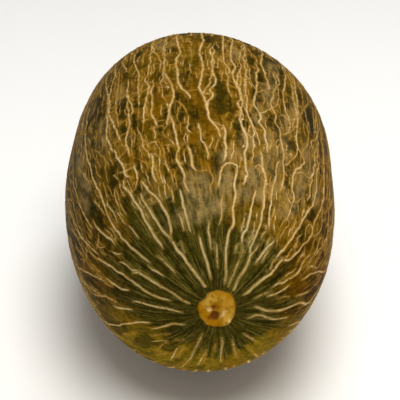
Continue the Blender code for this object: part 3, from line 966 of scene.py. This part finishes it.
GOLD_PATCHES = (
    (93, 138, 5, 6), (88, 126, 3, 5), (89, 152, 3, 3), (84, 140, 3, 4), (70, 146, 2.5, 5),
    (58, 150, 3, 2), (51, 177, 3, 3), (45, 184.5, 2.5, 1.5), (44, 204, 4, 3), (36, 198, 2.5, 4),
    (128, 205, 5, 5), (134, 196, 4, 5), (120, 227, 4, 2), (66, 130, 3, 4), (80, 100, 8, 2),
    (47, 178, 2.5, 2.5), (55, 184, 2, 2), (100, 112, 5, 5), (88, 113, 4, 5), (84, 123, 4, 5),
    (104, 124, 4, 4), (70, 122, 4, 6), (101, 239, 8, 2), (86, 118, 4, 7), (90, 131, 4, 4),
    (76, 141, 3, 5),
)

# Patches of painted sheen: a pale grey-beige laid over the ground where the light gives a soft sheen, listed the same
# way.
SHEEN_PATCHES = (
    (85, 164, 6, 9), (97, 160, 5, 7), (110, 158, 4, 5), (105, 166, 4, 4), (131, 158, 4, 7),
    (124, 165, 3, 4), (34, 148, 3, 12), (117, 140, 3, 4), (85, 173, 5, 5), (93, 170, 5, 4),
    (116, 152, 7, 6), (133, 152, 3, 8), (124, 172, 5, 4), (100, 149, 5, 4), (137, 166, 2, 6),
    (117, 121, 3, 6), (124, 134, 3, 6), (112, 130, 3, 5), (122, 147, 4, 6), (77, 175, 3, 3),
    (129, 166, 3, 5), (113, 165, 4, 4), (36, 165, 3, 8), (44, 140, 3, 7), (102, 105, 4, 3),
    (70, 100, 5, 2), (51, 122, 2, 4), (118, 112, 3, 4), (128, 130, 2, 6), (108, 142, 4, 4),
    (119, 162, 5, 5),
)


def patches(theta, s):
    """Green and golden shares of the rind's ground, and the share of painted sheen, at each mesh point."""
    p = skin(theta, s)
    x, y = seen_at(theta, s)
    x = x + 1.1 * noise(p, 9.0, 1) + 0.5 * noise(p, 3.6, 2)
    y = y + 1.3 * noise(p, 10.0, 3) + 0.5 * noise(p, 3.9, 4)
    shown = smooth(0.04, 0.20, facing(theta, s))
    flank = smooth(0.50, 0.92, -np.cos(theta)) * smooth(56.0, 100.0, s)
    out = []
    for places, which, size, seam in (
        (GREEN_PATCHES, 5, 15.0, (0.08, 0.42)), (GOLD_PATCHES, 0, 21.0, (0.12, 0.50)),
        (SHEEN_PATCHES, 2, 33.0, (0.22, 0.60)),
    ):
        seen = np.zeros(len(s))
        for x0, y0, wide, tall in places:
            d = np.hypot((x - x0) / wide, (y - y0) / tall)
            seen = np.maximum(seen, 1.0 - smooth(0.45, 1.45, d))
        rest = smooth(seam[0], seam[1], noise(p * np.array([1.0, 0.5, 1.0]), size, which))
        rest = rest * smooth(30.0, 90.0, s)
        out.append(seen * shown + rest * (1.0 - shown))
    out[0] = np.maximum(out[0], flank * (0.66 + 0.34 * noise(p * np.array([1.0, 0.5, 1.0]), 14.0, 4)))
    return out


def zones(theta, s):
    """Broad colour zones: dark green at the stem, yellow-olive below it, warm brown
    on one flank (its colour darkened with painted shade), and a paler strip where
    the fruit lay on the ground."""
    p = skin(theta, s)
    down = 0.5 - 0.5 * np.sin(theta)
    turn = (np.degrees(theta) + 180.0 - 125.0) % 360.0 - 180.0
    reach = 38.0 + 28.0 * np.exp(-((turn / 45.0) ** 2)) - 13.0 * smooth(0.6, 0.95, down)
    ring = np.stack([np.cos(theta) * 7.0, np.sin(theta) * 7.0, s / 60.0], -1)
    ragged = s + 9.0 * noise(ring, 1.0, 0) + 5.0 * noise(p, 12.0, 1)
    stem = 1.0 - smooth(0.65, 1.65, ragged / reach)
    stem = np.where(s > S_END - 40.0, 0.7 * smooth(S_END - 34.0, S_END - 12.0, ragged), stem)
    below = smooth(0.55, 0.90, down + 0.10 * noise(p, 20.0, 2)) * smooth(20.0, 34.0, s)
    below = below * (1.0 - 0.35 * smooth(80.0, 140.0, s))
    turn = np.mod(theta + 0.10 + math.pi, TAU) - math.pi
    warm = np.exp(-((turn / 0.62) ** 2)) * smooth(36.0, 62.0, ragged) * (1.0 - smooth(150.0, 220.0, s))
    flecks = np.exp(-(((turn + 0.10) / 0.62) ** 2)) * smooth(20.0, 40.0, ragged)
    return stem, below, warm, flecks


def cap(ring_theta, s_outer, s_tip, spacings, first_index, stem):
    """Rings from a tube's end ring in to the tip: points and triangles."""
    n = len(ring_theta)
    theta, s, tris, turned = [], [], [], []
    previous = np.arange(n) + first_index[0]
    next_index = first_index[1]
    full = np.concatenate([ring_theta, [ring_theta[0] + TAU]])
    for at in spacings:
        theta.append(ring_theta)
        s.append(np.full(n, at))
        row = np.arange(n) + next_index
        next_index += n
        for j in range(n):
            k = (j + 1) % n
            a, b, c, d = previous[j], previous[k], row[k], row[j]
            ta, tb = full[j], full[j + 1]
            if stem:
                quads = (((a, b, c), (ta, tb, tb)), ((a, c, d), (ta, tb, ta)))
            else:
                quads = (((a, c, b), (ta, tb, tb)), ((a, d, c), (ta, ta, tb)))
            for tri, turn in quads:
                tris.append(tri)
                turned.append(turn)
        previous = row
    theta.append(np.array([0.0]))
    s.append(np.array([s_tip]))
    for j in range(n):
        k = (j + 1) % n
        ta, tb = full[j], full[j + 1]
        mid = 0.5 * (ta + tb)
        if stem:
            tris.append((previous[j], previous[k], next_index))
            turned.append((ta, tb, mid))
        else:
            tris.append((previous[k], previous[j], next_index))
            turned.append((tb, ta, mid))
    return np.concatenate(theta), np.concatenate(s), np.array(tris), np.array(turned)


def build_net(rng):
    placed_lines(rng)
    clear = Clear(LINES)
    tracks = build_tracks(rng)
    main_lines(rng, tracks, clear)
    islands(rng, tracks, clear)
    links(rng, tracks, clear)
    seen_links(rng, clear, 160)
    thin_lines(rng, clear)


def build_rind():
    rng = np.random.default_rng(20)
    build_net(rng)

    theta, s = mesh_points(rng, 1.66)
    n_stem, n_far = 168, 108
    stem_ring = -0.5 * math.pi + TAU * np.arange(n_stem) / n_stem
    far_ring = -0.5 * math.pi + TAU * np.arange(n_far) / n_far
    theta = np.concatenate([stem_ring, far_ring, wrap(theta)])
    s = np.concatenate([np.full(n_stem, S_STEM), np.full(n_far, S_BLOSSOM), s])
    q = np.interp(s, TAB_S, TAB_Q)
    tris, turned = triangles_between(theta, q)

    stem_r = np.concatenate([np.arange(CAP_STEM - 0.45, 0.35, -0.45)])
    stem_s = np.interp(stem_r, TAB_R[:HALF], TAB_S[:HALF])
    far_r = np.arange(CAP_BLOSSOM - 0.55, 0.4, -0.55)
    far_s = np.interp(far_r, TAB_R[HALF:][::-1], TAB_S[HALF:][::-1])
    t1, s1, tri1, turn1 = cap(stem_ring, S_STEM, 0.0, stem_s, (0, len(theta)), True)
    t2, s2, tri2, turn2 = cap(far_ring, S_BLOSSOM, S_END, far_s, (n_stem, len(theta) + len(t1)), False)
    tube = len(theta)
    theta = np.concatenate([theta, t1, t2])
    s = np.concatenate([s, s1, s2])
    tris = np.concatenate([tris, tri1, tri2])
    turned = np.concatenate([turned, turn1, turn2])

    high, cork, pale, near = net_field(theta[:tube], s[:tube])
    pad = len(theta) - tube
    high, cork, pale = (np.concatenate([v, np.zeros(pad)]) for v in (high, cork, pale))
    near = np.concatenate([near, np.full(pad, 3.0)])

    level = ground(theta, s)
    lift, scar, pit, bright = stem_scar(theta, s)
    only = s < 40.0
    lift, scar, pit, bright = (np.where(only, v, 0.0) for v in (lift, scar, pit, bright))
    far_lift, far_scar, far_dip = blossom_scar(theta, s)
    only = s > S_END - 30.0
    far_lift, far_scar, far_dip = (np.where(only, v, 0.0) for v in (far_lift, far_scar, far_dip))
    height = np.minimum(level + high, 0.92) + lift + far_lift - INSET
    points = skin(theta, s) + skin_normal(theta, s) * height[:, None] + SHIFT
    tip_rows = (s == 0.0) | (s == S_END)
    points[tip_rows] = skin(theta[tip_rows], s[tip_rows]) + SHIFT
    points[s == 0.0, 1] -= (height[s == 0.0])
    points[s == S_END, 1] += (height[s == S_END])
    points[:, 2] = np.maximum(points[:, 2], 0.0)
    points = points * 0.001

    mesh = bpy.data.meshes.new("melon_rind")
    mesh.from_pydata(points.tolist(), [], tris.tolist())
    mesh.update()
    mesh.polygons.foreach_set("use_smooth", np.ones(len(mesh.polygons), bool))

    margin = 0.06
    uv = mesh.uv_layers.new(name="OFBake")
    u = (turned.reshape(-1) + 0.5 * math.pi + margin) / (TAU + 2.0 * margin)
    v = 0.004 + 0.992 * s[tris.reshape(-1)] / S_END
    uv.data.foreach_set("uv", np.stack([u, v], 1).reshape(-1).astype(np.float32))

    def keep(name, values):
        layer = mesh.attributes.new(name, "FLOAT", "POINT")
        layer.data.foreach_set("value", np.asarray(values, np.float32))

    moss, gold, sheen_mask = patches(theta, s)
    stem, below, warm, flecks = zones(theta, s)
    keep("cork", cork)
    keep("pale", pale * (1.0 - 0.30 * smooth(110.0, 185.0, s)) * (0.55 + 0.45 * smooth(14.0, 36.0, s)))
    keep("near", np.minimum(near, 3.0) / 3.0)
    keep("scar", np.maximum(scar, far_scar))
    keep("pit", np.maximum(pit, far_dip))
    keep("bright", bright)
    keep("along", s / S_END)
    keep("moss", moss)
    keep("gold", gold)
    keep("sheen_mask", sheen_mask)
    keep("stem", stem)
    keep("below", below)
    keep("warm", warm)
    keep("flecks", flecks)
    # painted shade on both flanks: the ground is darkened towards black there, on the right away from the middle of
    # its length
    one = smooth(0.50, 0.95, -np.cos(theta)) * (0.5 + 0.5 * smooth(60.0, 110.0, s))
    other = smooth(0.82, 0.97, np.cos(theta)) * (1.0 - np.exp(-(((s - 108.0) / 28.0) ** 2)))
    keep("flank", one + 1.2 * other)
    # the left flank's share of the painted sheen veil
    left = smooth(0.50, 0.95, -np.cos(theta)) * smooth(84.0, 130.0, s)
    keep("sheen_veil", np.maximum(sheen_mask, 0.75 * left))
    ring = mesh.attributes.new("around", "FLOAT_VECTOR", "POINT")
    drawn = np.interp(s, [0.0, 60.0, 120.0, 200.0, S_END], [0.0, 60.0, 104.0, 144.0, 220.0])
    coords = np.stack([RADIUS * np.cos(theta), RADIUS * np.sin(theta), drawn], 1) * 0.1
    ring.data.foreach_set("vector", coords.reshape(-1).astype(np.float32))

    print("rind:", len(points), "points", len(tris), "triangles", len(LINES), "lines")
    piece = bpy.data.objects.new("melon_rind", mesh)
    bpy.context.scene.collection.objects.link(piece)
    return piece


# ---- materials ---------------------------------------------------------------
def srgb(r, g, b):
    out = []
    for c in (r, g, b):
        c /= 255.0
        out.append(c / 12.92 if c <= 0.04045 else ((c + 0.055) / 1.055) ** 2.4)
    return (*out, 1.0)


# Ground: between the cork, on the warm flank (its brown darkened with painted shade), underneath, and the patches of
# colour, the last of them a painted sheen.
BROWN, AMBER, WARM_SHADED, OLIVE = (48, 37, 3), (92, 68, 4), (72, 38, 0), (134, 110, 20)
MOSS, STEM, STREAK, GOLD, PAINTED_SHEEN = (39, 38, 7), (35, 33, 6), (64, 57, 12), (118, 78, 2), (148, 122, 69)
# Fine marks on it: specks, web, the edge along the cork, rays and haze at the stem.
SPECK, WEB, HALO = (132, 99, 16), (155, 117, 40), (126, 92, 18)
RAY, HAZE = (113, 100, 44), (111, 103, 57)
# The faint grey painted sheen on it where the light falls.
GREY_SHEEN = (146, 134, 100)
# Cork: thin, thick, its dark grains, and near the stem.
CORK_GOLD, CORK_PALE = (167, 124, 48), (219, 189, 130)
CORK_DARK, CORK_STEM = (120, 88, 26), (150, 133, 86)
# The scars: crust, its lighter patches, its grains, the pit, and pale spots.
SCAR_OCHRE, SCAR_LIGHT, SCAR_DEEP = (148, 101, 6), (173, 134, 48), (118, 78, 6)
SCAR_PIT, SCAR_PALE = (104, 58, 18), (214, 180, 118)


class Graph:
    """Short names for building a node material."""

    def __init__(self, name):
        self.mat = bpy.data.materials.new(name)
        self.mat.use_nodes = True
        self.tree = self.mat.node_tree
        self.shader = self.tree.nodes["Principled BSDF"]

    def set(self, socket, value):
        if isinstance(value, bpy.types.NodeSocket):
            self.tree.links.new(value, socket)
        elif value is not None:
            socket.default_value = value

    def attribute(self, name, output="Fac"):
        node = self.tree.nodes.new("ShaderNodeAttribute")
        node.attribute_name = name
        return node.outputs[output]

    def math(self, op, a, b=None, c=None, clamp=False):
        node = self.tree.nodes.new("ShaderNodeMath")
        node.operation = op
        node.use_clamp = clamp
        for socket, value in zip(node.inputs, (a, b, c)):
            self.set(socket, value)
        return node.outputs[0]

    def product(self, *values):
        out = values[0]
        for value in values[1:]:
            out = self.math("MULTIPLY", out, value)
        return out

    def vector(self, op, a, b=None):
        node = self.tree.nodes.new("ShaderNodeVectorMath")
        node.operation = op
        self.set(node.inputs[0], a)
        self.set(node.inputs[1], b)
        return node.outputs[0]

    def range(self, value, low, high, to_low=0.0, to_high=1.0):
        node = self.tree.nodes.new("ShaderNodeMapRange")
        node.interpolation_type = "SMOOTHSTEP"
        for socket, v in zip(node.inputs, (value, low, high, to_low, to_high)):
            self.set(socket, v)
        return node.outputs[0]

    def mix(self, share, a, b, kind="MIX"):
        node = self.tree.nodes.new("ShaderNodeMix")
        node.data_type = "RGBA"
        node.blend_type = kind
        node.clamp_factor = True
        self.set(node.inputs[0], share)
        self.set(node.inputs[6], a)
        self.set(node.inputs[7], b)
        return node.outputs[2]

    def noise(self, place, scale, detail=2.0, rough=0.5, output=0):
        node = self.tree.nodes.new("ShaderNodeTexNoise")
        self.set(node.inputs["Vector"], place)
        self.set(node.inputs["Scale"], scale)
        self.set(node.inputs["Detail"], detail)
        self.set(node.inputs["Roughness"], rough)
        return node.outputs[output]

    def turned(self, place):
        """Places turned askew, so that no noise lines up with the object's axes."""
        node = self.tree.nodes.new("ShaderNodeMapping")
        self.set(node.inputs["Vector"], place)
        node.inputs["Rotation"].default_value = (0.62, 0.41, 0.87)
        return node.outputs[0]

    def jumbled(self, place, scale, amount):
        """Places pushed about by a noise."""
        push = self.vector("SUBTRACT", self.noise(place, scale, 2.0, 0.5, 1), (0.5, 0.5, 0.5))
        return self.vector("ADD", place, self.vector("MULTIPLY", push, (amount, amount, amount)))

    def strands(self, place, scale, core, edge):
        """Thin wavy lines where a stretched noise crosses its middle value."""
        level = self.math("SUBTRACT", self.noise(place, scale, 1.0, 0.5), 0.5)
        return self.range(self.math("ABSOLUTE", level), core, edge, 1.0, 0.0)


def rind_material():
    g = Graph("rind")
    cork, pale = g.attribute("cork"), g.attribute("pale")
    near, scar, pit = g.attribute("near"), g.attribute("scar"), g.attribute("pit")
    bright, along = g.attribute("bright"), g.attribute("along")
    moss, gold, sheen_mask = g.attribute("moss"), g.attribute("gold"), g.attribute("sheen_mask")
    stem, below, warm = g.attribute("stem"), g.attribute("below"), g.attribute("warm")
    flecks, flank, sheen_veil = g.attribute("flecks"), g.attribute("flank"), g.attribute("sheen_veil")
    around = g.attribute("around", "Vector")          # centimetres round and along
    body = g.turned(g.tree.nodes.new("ShaderNodeNewGeometry").outputs["Position"])

    long_way = g.vector("MULTIPLY", around, (1.0, 1.0, 0.35))
    streak_way = g.vector("MULTIPLY", g.jumbled(around, 1.6, 0.22), (1.0, 1.0, 0.12))
    blotch = g.noise(long_way, 0.9, 3.0, 0.55)
    mottle = g.noise(body, 330.0, 3.0, 0.6)
    grain = g.noise(body, 900.0, 3.0, 0.6)
    streak = g.noise(streak_way, 2.0, 3.0, 0.6)

    wavy = g.jumbled(g.jumbled(around, 2.2, 0.12), 6.0, 0.05)

    # the ground between the cork: brown, greener in the gaps, golden in places
    soft = g.noise(g.vector("MULTIPLY", around, (1.0, 1.0, 0.36)), 3.0, 2.0, 0.5)
    brown = g.math("ADD", g.product(blotch, 0.60), g.product(soft, 0.40))
    ground = g.mix(g.range(brown, 0.42, 0.58), srgb(*BROWN), srgb(*AMBER))
    # the warm flank's brown, darkened with painted shade
    ground = g.mix(g.product(warm, 0.80), ground, srgb(*WARM_SHADED))
    ground = g.mix(g.product(below, 0.85), ground, srgb(*OLIVE))
    loose = g.math("ADD", near, g.product(g.math("SUBTRACT", soft, 0.5), 0.5))
    loose = g.math("ADD", loose, g.product(g.math("SUBTRACT", mottle, 0.5), 0.45))
    gap = g.product(g.range(loose, 0.34, 0.74), g.range(blotch, 0.36, 0.58, 0.65, 0.15))
    gap = g.product(gap, g.math("SUBTRACT", 1.0, g.product(gold, 0.7)))
    ragged = g.math("ADD", moss, g.product(g.math("SUBTRACT", soft, 0.5), 0.9))
    green = g.math("MAXIMUM", g.product(g.range(ragged, 0.15, 0.75), 0.85), gap)
    ground = g.mix(g.product(green, 0.82), ground, srgb(*MOSS))
    finger = g.noise(g.vector("MULTIPLY", wavy, (1.0, 1.0, 0.16)), 3.4, 3.0, 0.6)
    fringe = g.math("ADD", stem, g.product(g.math("SUBTRACT", finger, 0.52), 2.4))
    fringe = g.product(g.range(fringe, 0.30, 0.80), g.range(stem, 0.0, 0.25))
    stem_green = g.mix(g.range(streak, 0.38, 0.68), srgb(*STEM), srgb(*STREAK))
    haze = g.product(g.range(near, 0.10, 0.42, 1.0, 0.0), g.range(blotch, 0.36, 0.60, 0.35, 1.0))
    stem_green = g.mix(g.product(haze, 0.65), stem_green, srgb(*HAZE))
    ground = g.mix(g.product(fringe, 0.92), ground, stem_green)
    ground = g.mix(g.product(gold, g.range(soft, 0.32, 0.66, 0.22, 0.72)), ground, srgb(*GOLD))
    # painted sheen: grey-beige patches where the light gives a soft sheen
    ground = g.mix(g.product(sheen_mask, g.range(soft, 0.38, 0.60, 0.16, 0.66)), ground, srgb(*PAINTED_SHEEN))
    # painted shade: the ground darkened towards black on both flanks
    ground = g.mix(g.product(flank, 0.19), ground, (0.0, 0.0, 0.0, 1.0))
    dark, light = (0.66, 0.66, 0.66, 1.0), (1.24, 1.24, 1.24, 1.0)
    ground = g.mix(1.0, ground, g.mix(g.range(mottle, 0.30, 0.70), dark, light), "MULTIPLY")
    ground = g.mix(0.7, ground, g.mix(g.range(grain, 0.32, 0.68), dark, light), "MULTIPLY")

    # a golden edge along the cork, and fine strands and specks between
    halo = g.product(g.range(near, 0.16, 0.46, 1.0, 0.0), g.range(soft, 0.36, 0.60, 0.15, 1.0))
    halo = g.product(halo, g.math("SUBTRACT", 1.0, g.product(stem, 0.6)))
    halo = g.product(halo, g.math("SUBTRACT", 1.0, g.product(moss, 0.6)))
    ground = g.mix(g.product(halo, 0.60), ground, srgb(*HALO))
    strands = g.strands(g.vector("MULTIPLY", wavy, (1.0, 1.0, 0.12)), 2.9, 0.006, 0.050)
    dashes = g.range(g.noise(g.vector("MULTIPLY", wavy, (1.0, 1.0, 0.19)), 5.4, 2.0, 0.5), 0.54, 0.63)
    where = g.noise(long_way, 1.3, 2.0, 0.5)
    crowd = g.math("ADD", g.math("ADD", where, g.product(gold, 0.10)), g.product(flecks, 0.08))
    crowd = g.math("ADD", crowd, g.product(sheen_mask, 0.10))
    open_skin = g.math("MAXIMUM", g.range(along, 0.06, 0.20), g.product(flecks, 0.9))
    open_skin = g.product(open_skin, g.math("SUBTRACT", 1.0, g.product(fringe, 0.75)))
    open_skin = g.product(open_skin, g.math("SUBTRACT", 1.0, g.product(green, 0.72)))
    open_skin = g.product(open_skin, g.math("SUBTRACT", 1.0, g.product(gold, 0.65)))
    beads = g.range(mottle, 0.38, 0.56, 0.10, 1.0)
    strands = g.product(strands, g.range(crowd, 0.38, 0.52), open_skin, beads)
    dashes = g.product(dashes, g.range(crowd, 0.43, 0.60), open_skin)
    speck = g.product(g.range(g.noise(body, 520.0, 2.0, 0.6), 0.54, 0.68), g.range(crowd, 0.40, 0.60), open_skin)
    ground = g.mix(g.product(speck, 0.26), ground, srgb(*SPECK))
    ground = g.mix(g.product(dashes, 0.48), ground, srgb(*WEB))
    ground = g.mix(g.product(strands, 0.46), ground, srgb(*WEB))
    rays = g.strands(g.vector("MULTIPLY", g.jumbled(around, 1.5, 0.10), (1.0, 1.0, 0.060)), 2.4, 0.006, 0.055)
    rays = g.product(rays, stem, g.range(g.noise(long_way, 1.9, 2.0, 0.5), 0.44, 0.60), g.range(mottle, 0.30, 0.55, 0.2, 1.0))
    ground = g.mix(g.product(rays, 0.50), ground, srgb(*RAY))
    ticks = g.noise(g.vector("MULTIPLY", wavy, (1.0, 1.0, 0.13)), 5.6, 2.0, 0.6)
    ticks = g.product(g.range(ticks, 0.52, 0.66), fringe, g.range(where, 0.36, 0.56, 0.25, 1.0))
    ground = g.mix(g.product(ticks, 0.65), ground, srgb(*RAY))
    web = g.math("MAXIMUM", g.math("MAXIMUM", strands, dashes), g.math("MAXIMUM", rays, ticks))

    # cork: golden where thin, pale buff where thick
    tone = g.math("ADD", pale, g.product(g.math("SUBTRACT", g.noise(body, 260.0, 3.0, 0.6), 0.56), 2.0), clamp=True)
    corky = g.mix(g.range(tone, 0.0, 1.0), srgb(*CORK_GOLD), srgb(*CORK_PALE))
    corky = g.mix(g.product(g.range(grain, 0.50, 0.72), 0.6), corky, srgb(*CORK_DARK))
    corky = g.mix(g.product(stem, 0.50), corky, srgb(*CORK_STEM))
    colour = g.mix(cork, ground, corky)
    # painted sheen: a faint grey veil over the colour where the light falls
    colour = g.mix(g.product(sheen_veil, g.range(soft, 0.36, 0.62, 0.05, 0.125)), colour, srgb(*GREY_SHEEN))

    # the two scars
    crust = g.noise(body, 380.0, 4.0, 0.65)
    side = g.range(g.noise(body, 110.0, 2.0), 0.35, 0.65)
    golden = g.mix(side, srgb(*SCAR_OCHRE), srgb(*SCAR_LIGHT))
    golden = g.mix(g.product(g.range(crust, 0.47, 0.64), 0.7), golden, srgb(*SCAR_DEEP))
    golden = g.mix(g.range(pit, 0.15, 0.85), golden, srgb(*SCAR_PIT))
    golden = g.mix(bright, golden, srgb(*SCAR_PALE))
    colour = g.mix(scar, colour, golden)

    g.set(g.shader.inputs["Base Color"], colour)
    rough = g.math("ADD", g.product(mottle, 0.22), 0.34)
    rough = g.math("ADD", rough, g.product(g.math("MAXIMUM", cork, scar), 0.22))
    g.set(g.shader.inputs["Roughness"], rough)
    g.set(g.shader.inputs["IOR"], 1.45)
    g.set(g.shader.inputs["Specular IOR Level"], 0.004)
    g.set(g.shader.inputs["Specular Tint"], (1.0, 0.78, 0.36, 1.0))

    # fine relief
    lift = g.product(grain, g.math("ADD", 0.30, g.product(g.math("MAXIMUM", cork, scar), 0.70)))
    lift = g.math("ADD", lift, g.product(scar, crust, 2.2))
    lift = g.math("ADD", lift, g.product(web, 0.8))
    lift = g.math("ADD", lift, g.product(speck, 0.4))
    bump = g.tree.nodes.new("ShaderNodeBump")
    bump.inputs["Strength"].default_value = 0.6
    bump.inputs["Distance"].default_value = 0.00022
    g.set(bump.inputs["Height"], lift)
    g.set(g.shader.inputs["Normal"], bump.outputs[0])
    return g.mat


# ---- the object ----------------------------------------------------------------
rind = build_rind()
rind.data.materials.append(rind_material())
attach(rind, "root")
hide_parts("melon")

# ---- stage, light, camera ------------------------------------------------------
floor_mesh = bpy.data.meshes.new("floor")
floor_mesh.from_pydata([(-4, -4, 0), (4, -4, 0), (4, 4, 0), (-4, 4, 0)], [], [(0, 1, 2, 3)])
floor = bpy.data.objects.new("floor", floor_mesh)
bpy.context.scene.collection.objects.link(floor)
plain = Graph("floor")
plain.shader.inputs["Base Color"].default_value = srgb(250, 250, 249)
plain.shader.inputs["Roughness"].default_value = 0.9
floor_mesh.materials.append(plain.mat)


def area_light(name, place, target, size, energy, colour=(1.0, 1.0, 1.0)):
    data = bpy.data.lights.new(name, "AREA")
    data.shape = "DISK"
    data.size = size
    data.energy = energy
    data.color = colour
    lamp = bpy.data.objects.new(name, data)
    lamp.location = place
    lamp.rotation_euler = (Vector(target) - Vector(place)).to_track_quat("-Z", "Y").to_euler()
    bpy.context.scene.collection.objects.link(lamp)


middle = (0.0, 0.0, 0.075)
area_light("key", (0.18, -0.72, 1.45), middle, 1.0, 18.0, (1.0, 0.96, 0.89))
area_light("top", (0.15, 0.50, 1.40), middle, 0.9, 9.0)
area_light("front", (0.10, -1.60, 0.35), middle, 0.6, 5.5)

world = bpy.data.worlds.new("studio")
world.use_nodes = True
world.node_tree.nodes["Background"].inputs[0].default_value = (1.0, 1.0, 1.0, 1.0)
world.node_tree.nodes["Background"].inputs[1].default_value = 0.22
bpy.context.scene.world = world
bpy.context.scene.view_settings.view_transform = "Standard"
bpy.context.scene.view_settings.look = "None"

data = bpy.data.cameras.new("camera")
data.sensor_width = 36.0
data.lens = LENS
data.clip_start = 0.05
camera = bpy.data.objects.new("camera", data)
camera.location = Vector(((EYE + SHIFT) * 0.001).tolist())
camera.rotation_euler = Vector(AHEAD.tolist()).to_track_quat("-Z", "Y").to_euler()
bpy.context.scene.collection.objects.link(camera)
bpy.context.scene.camera = camera
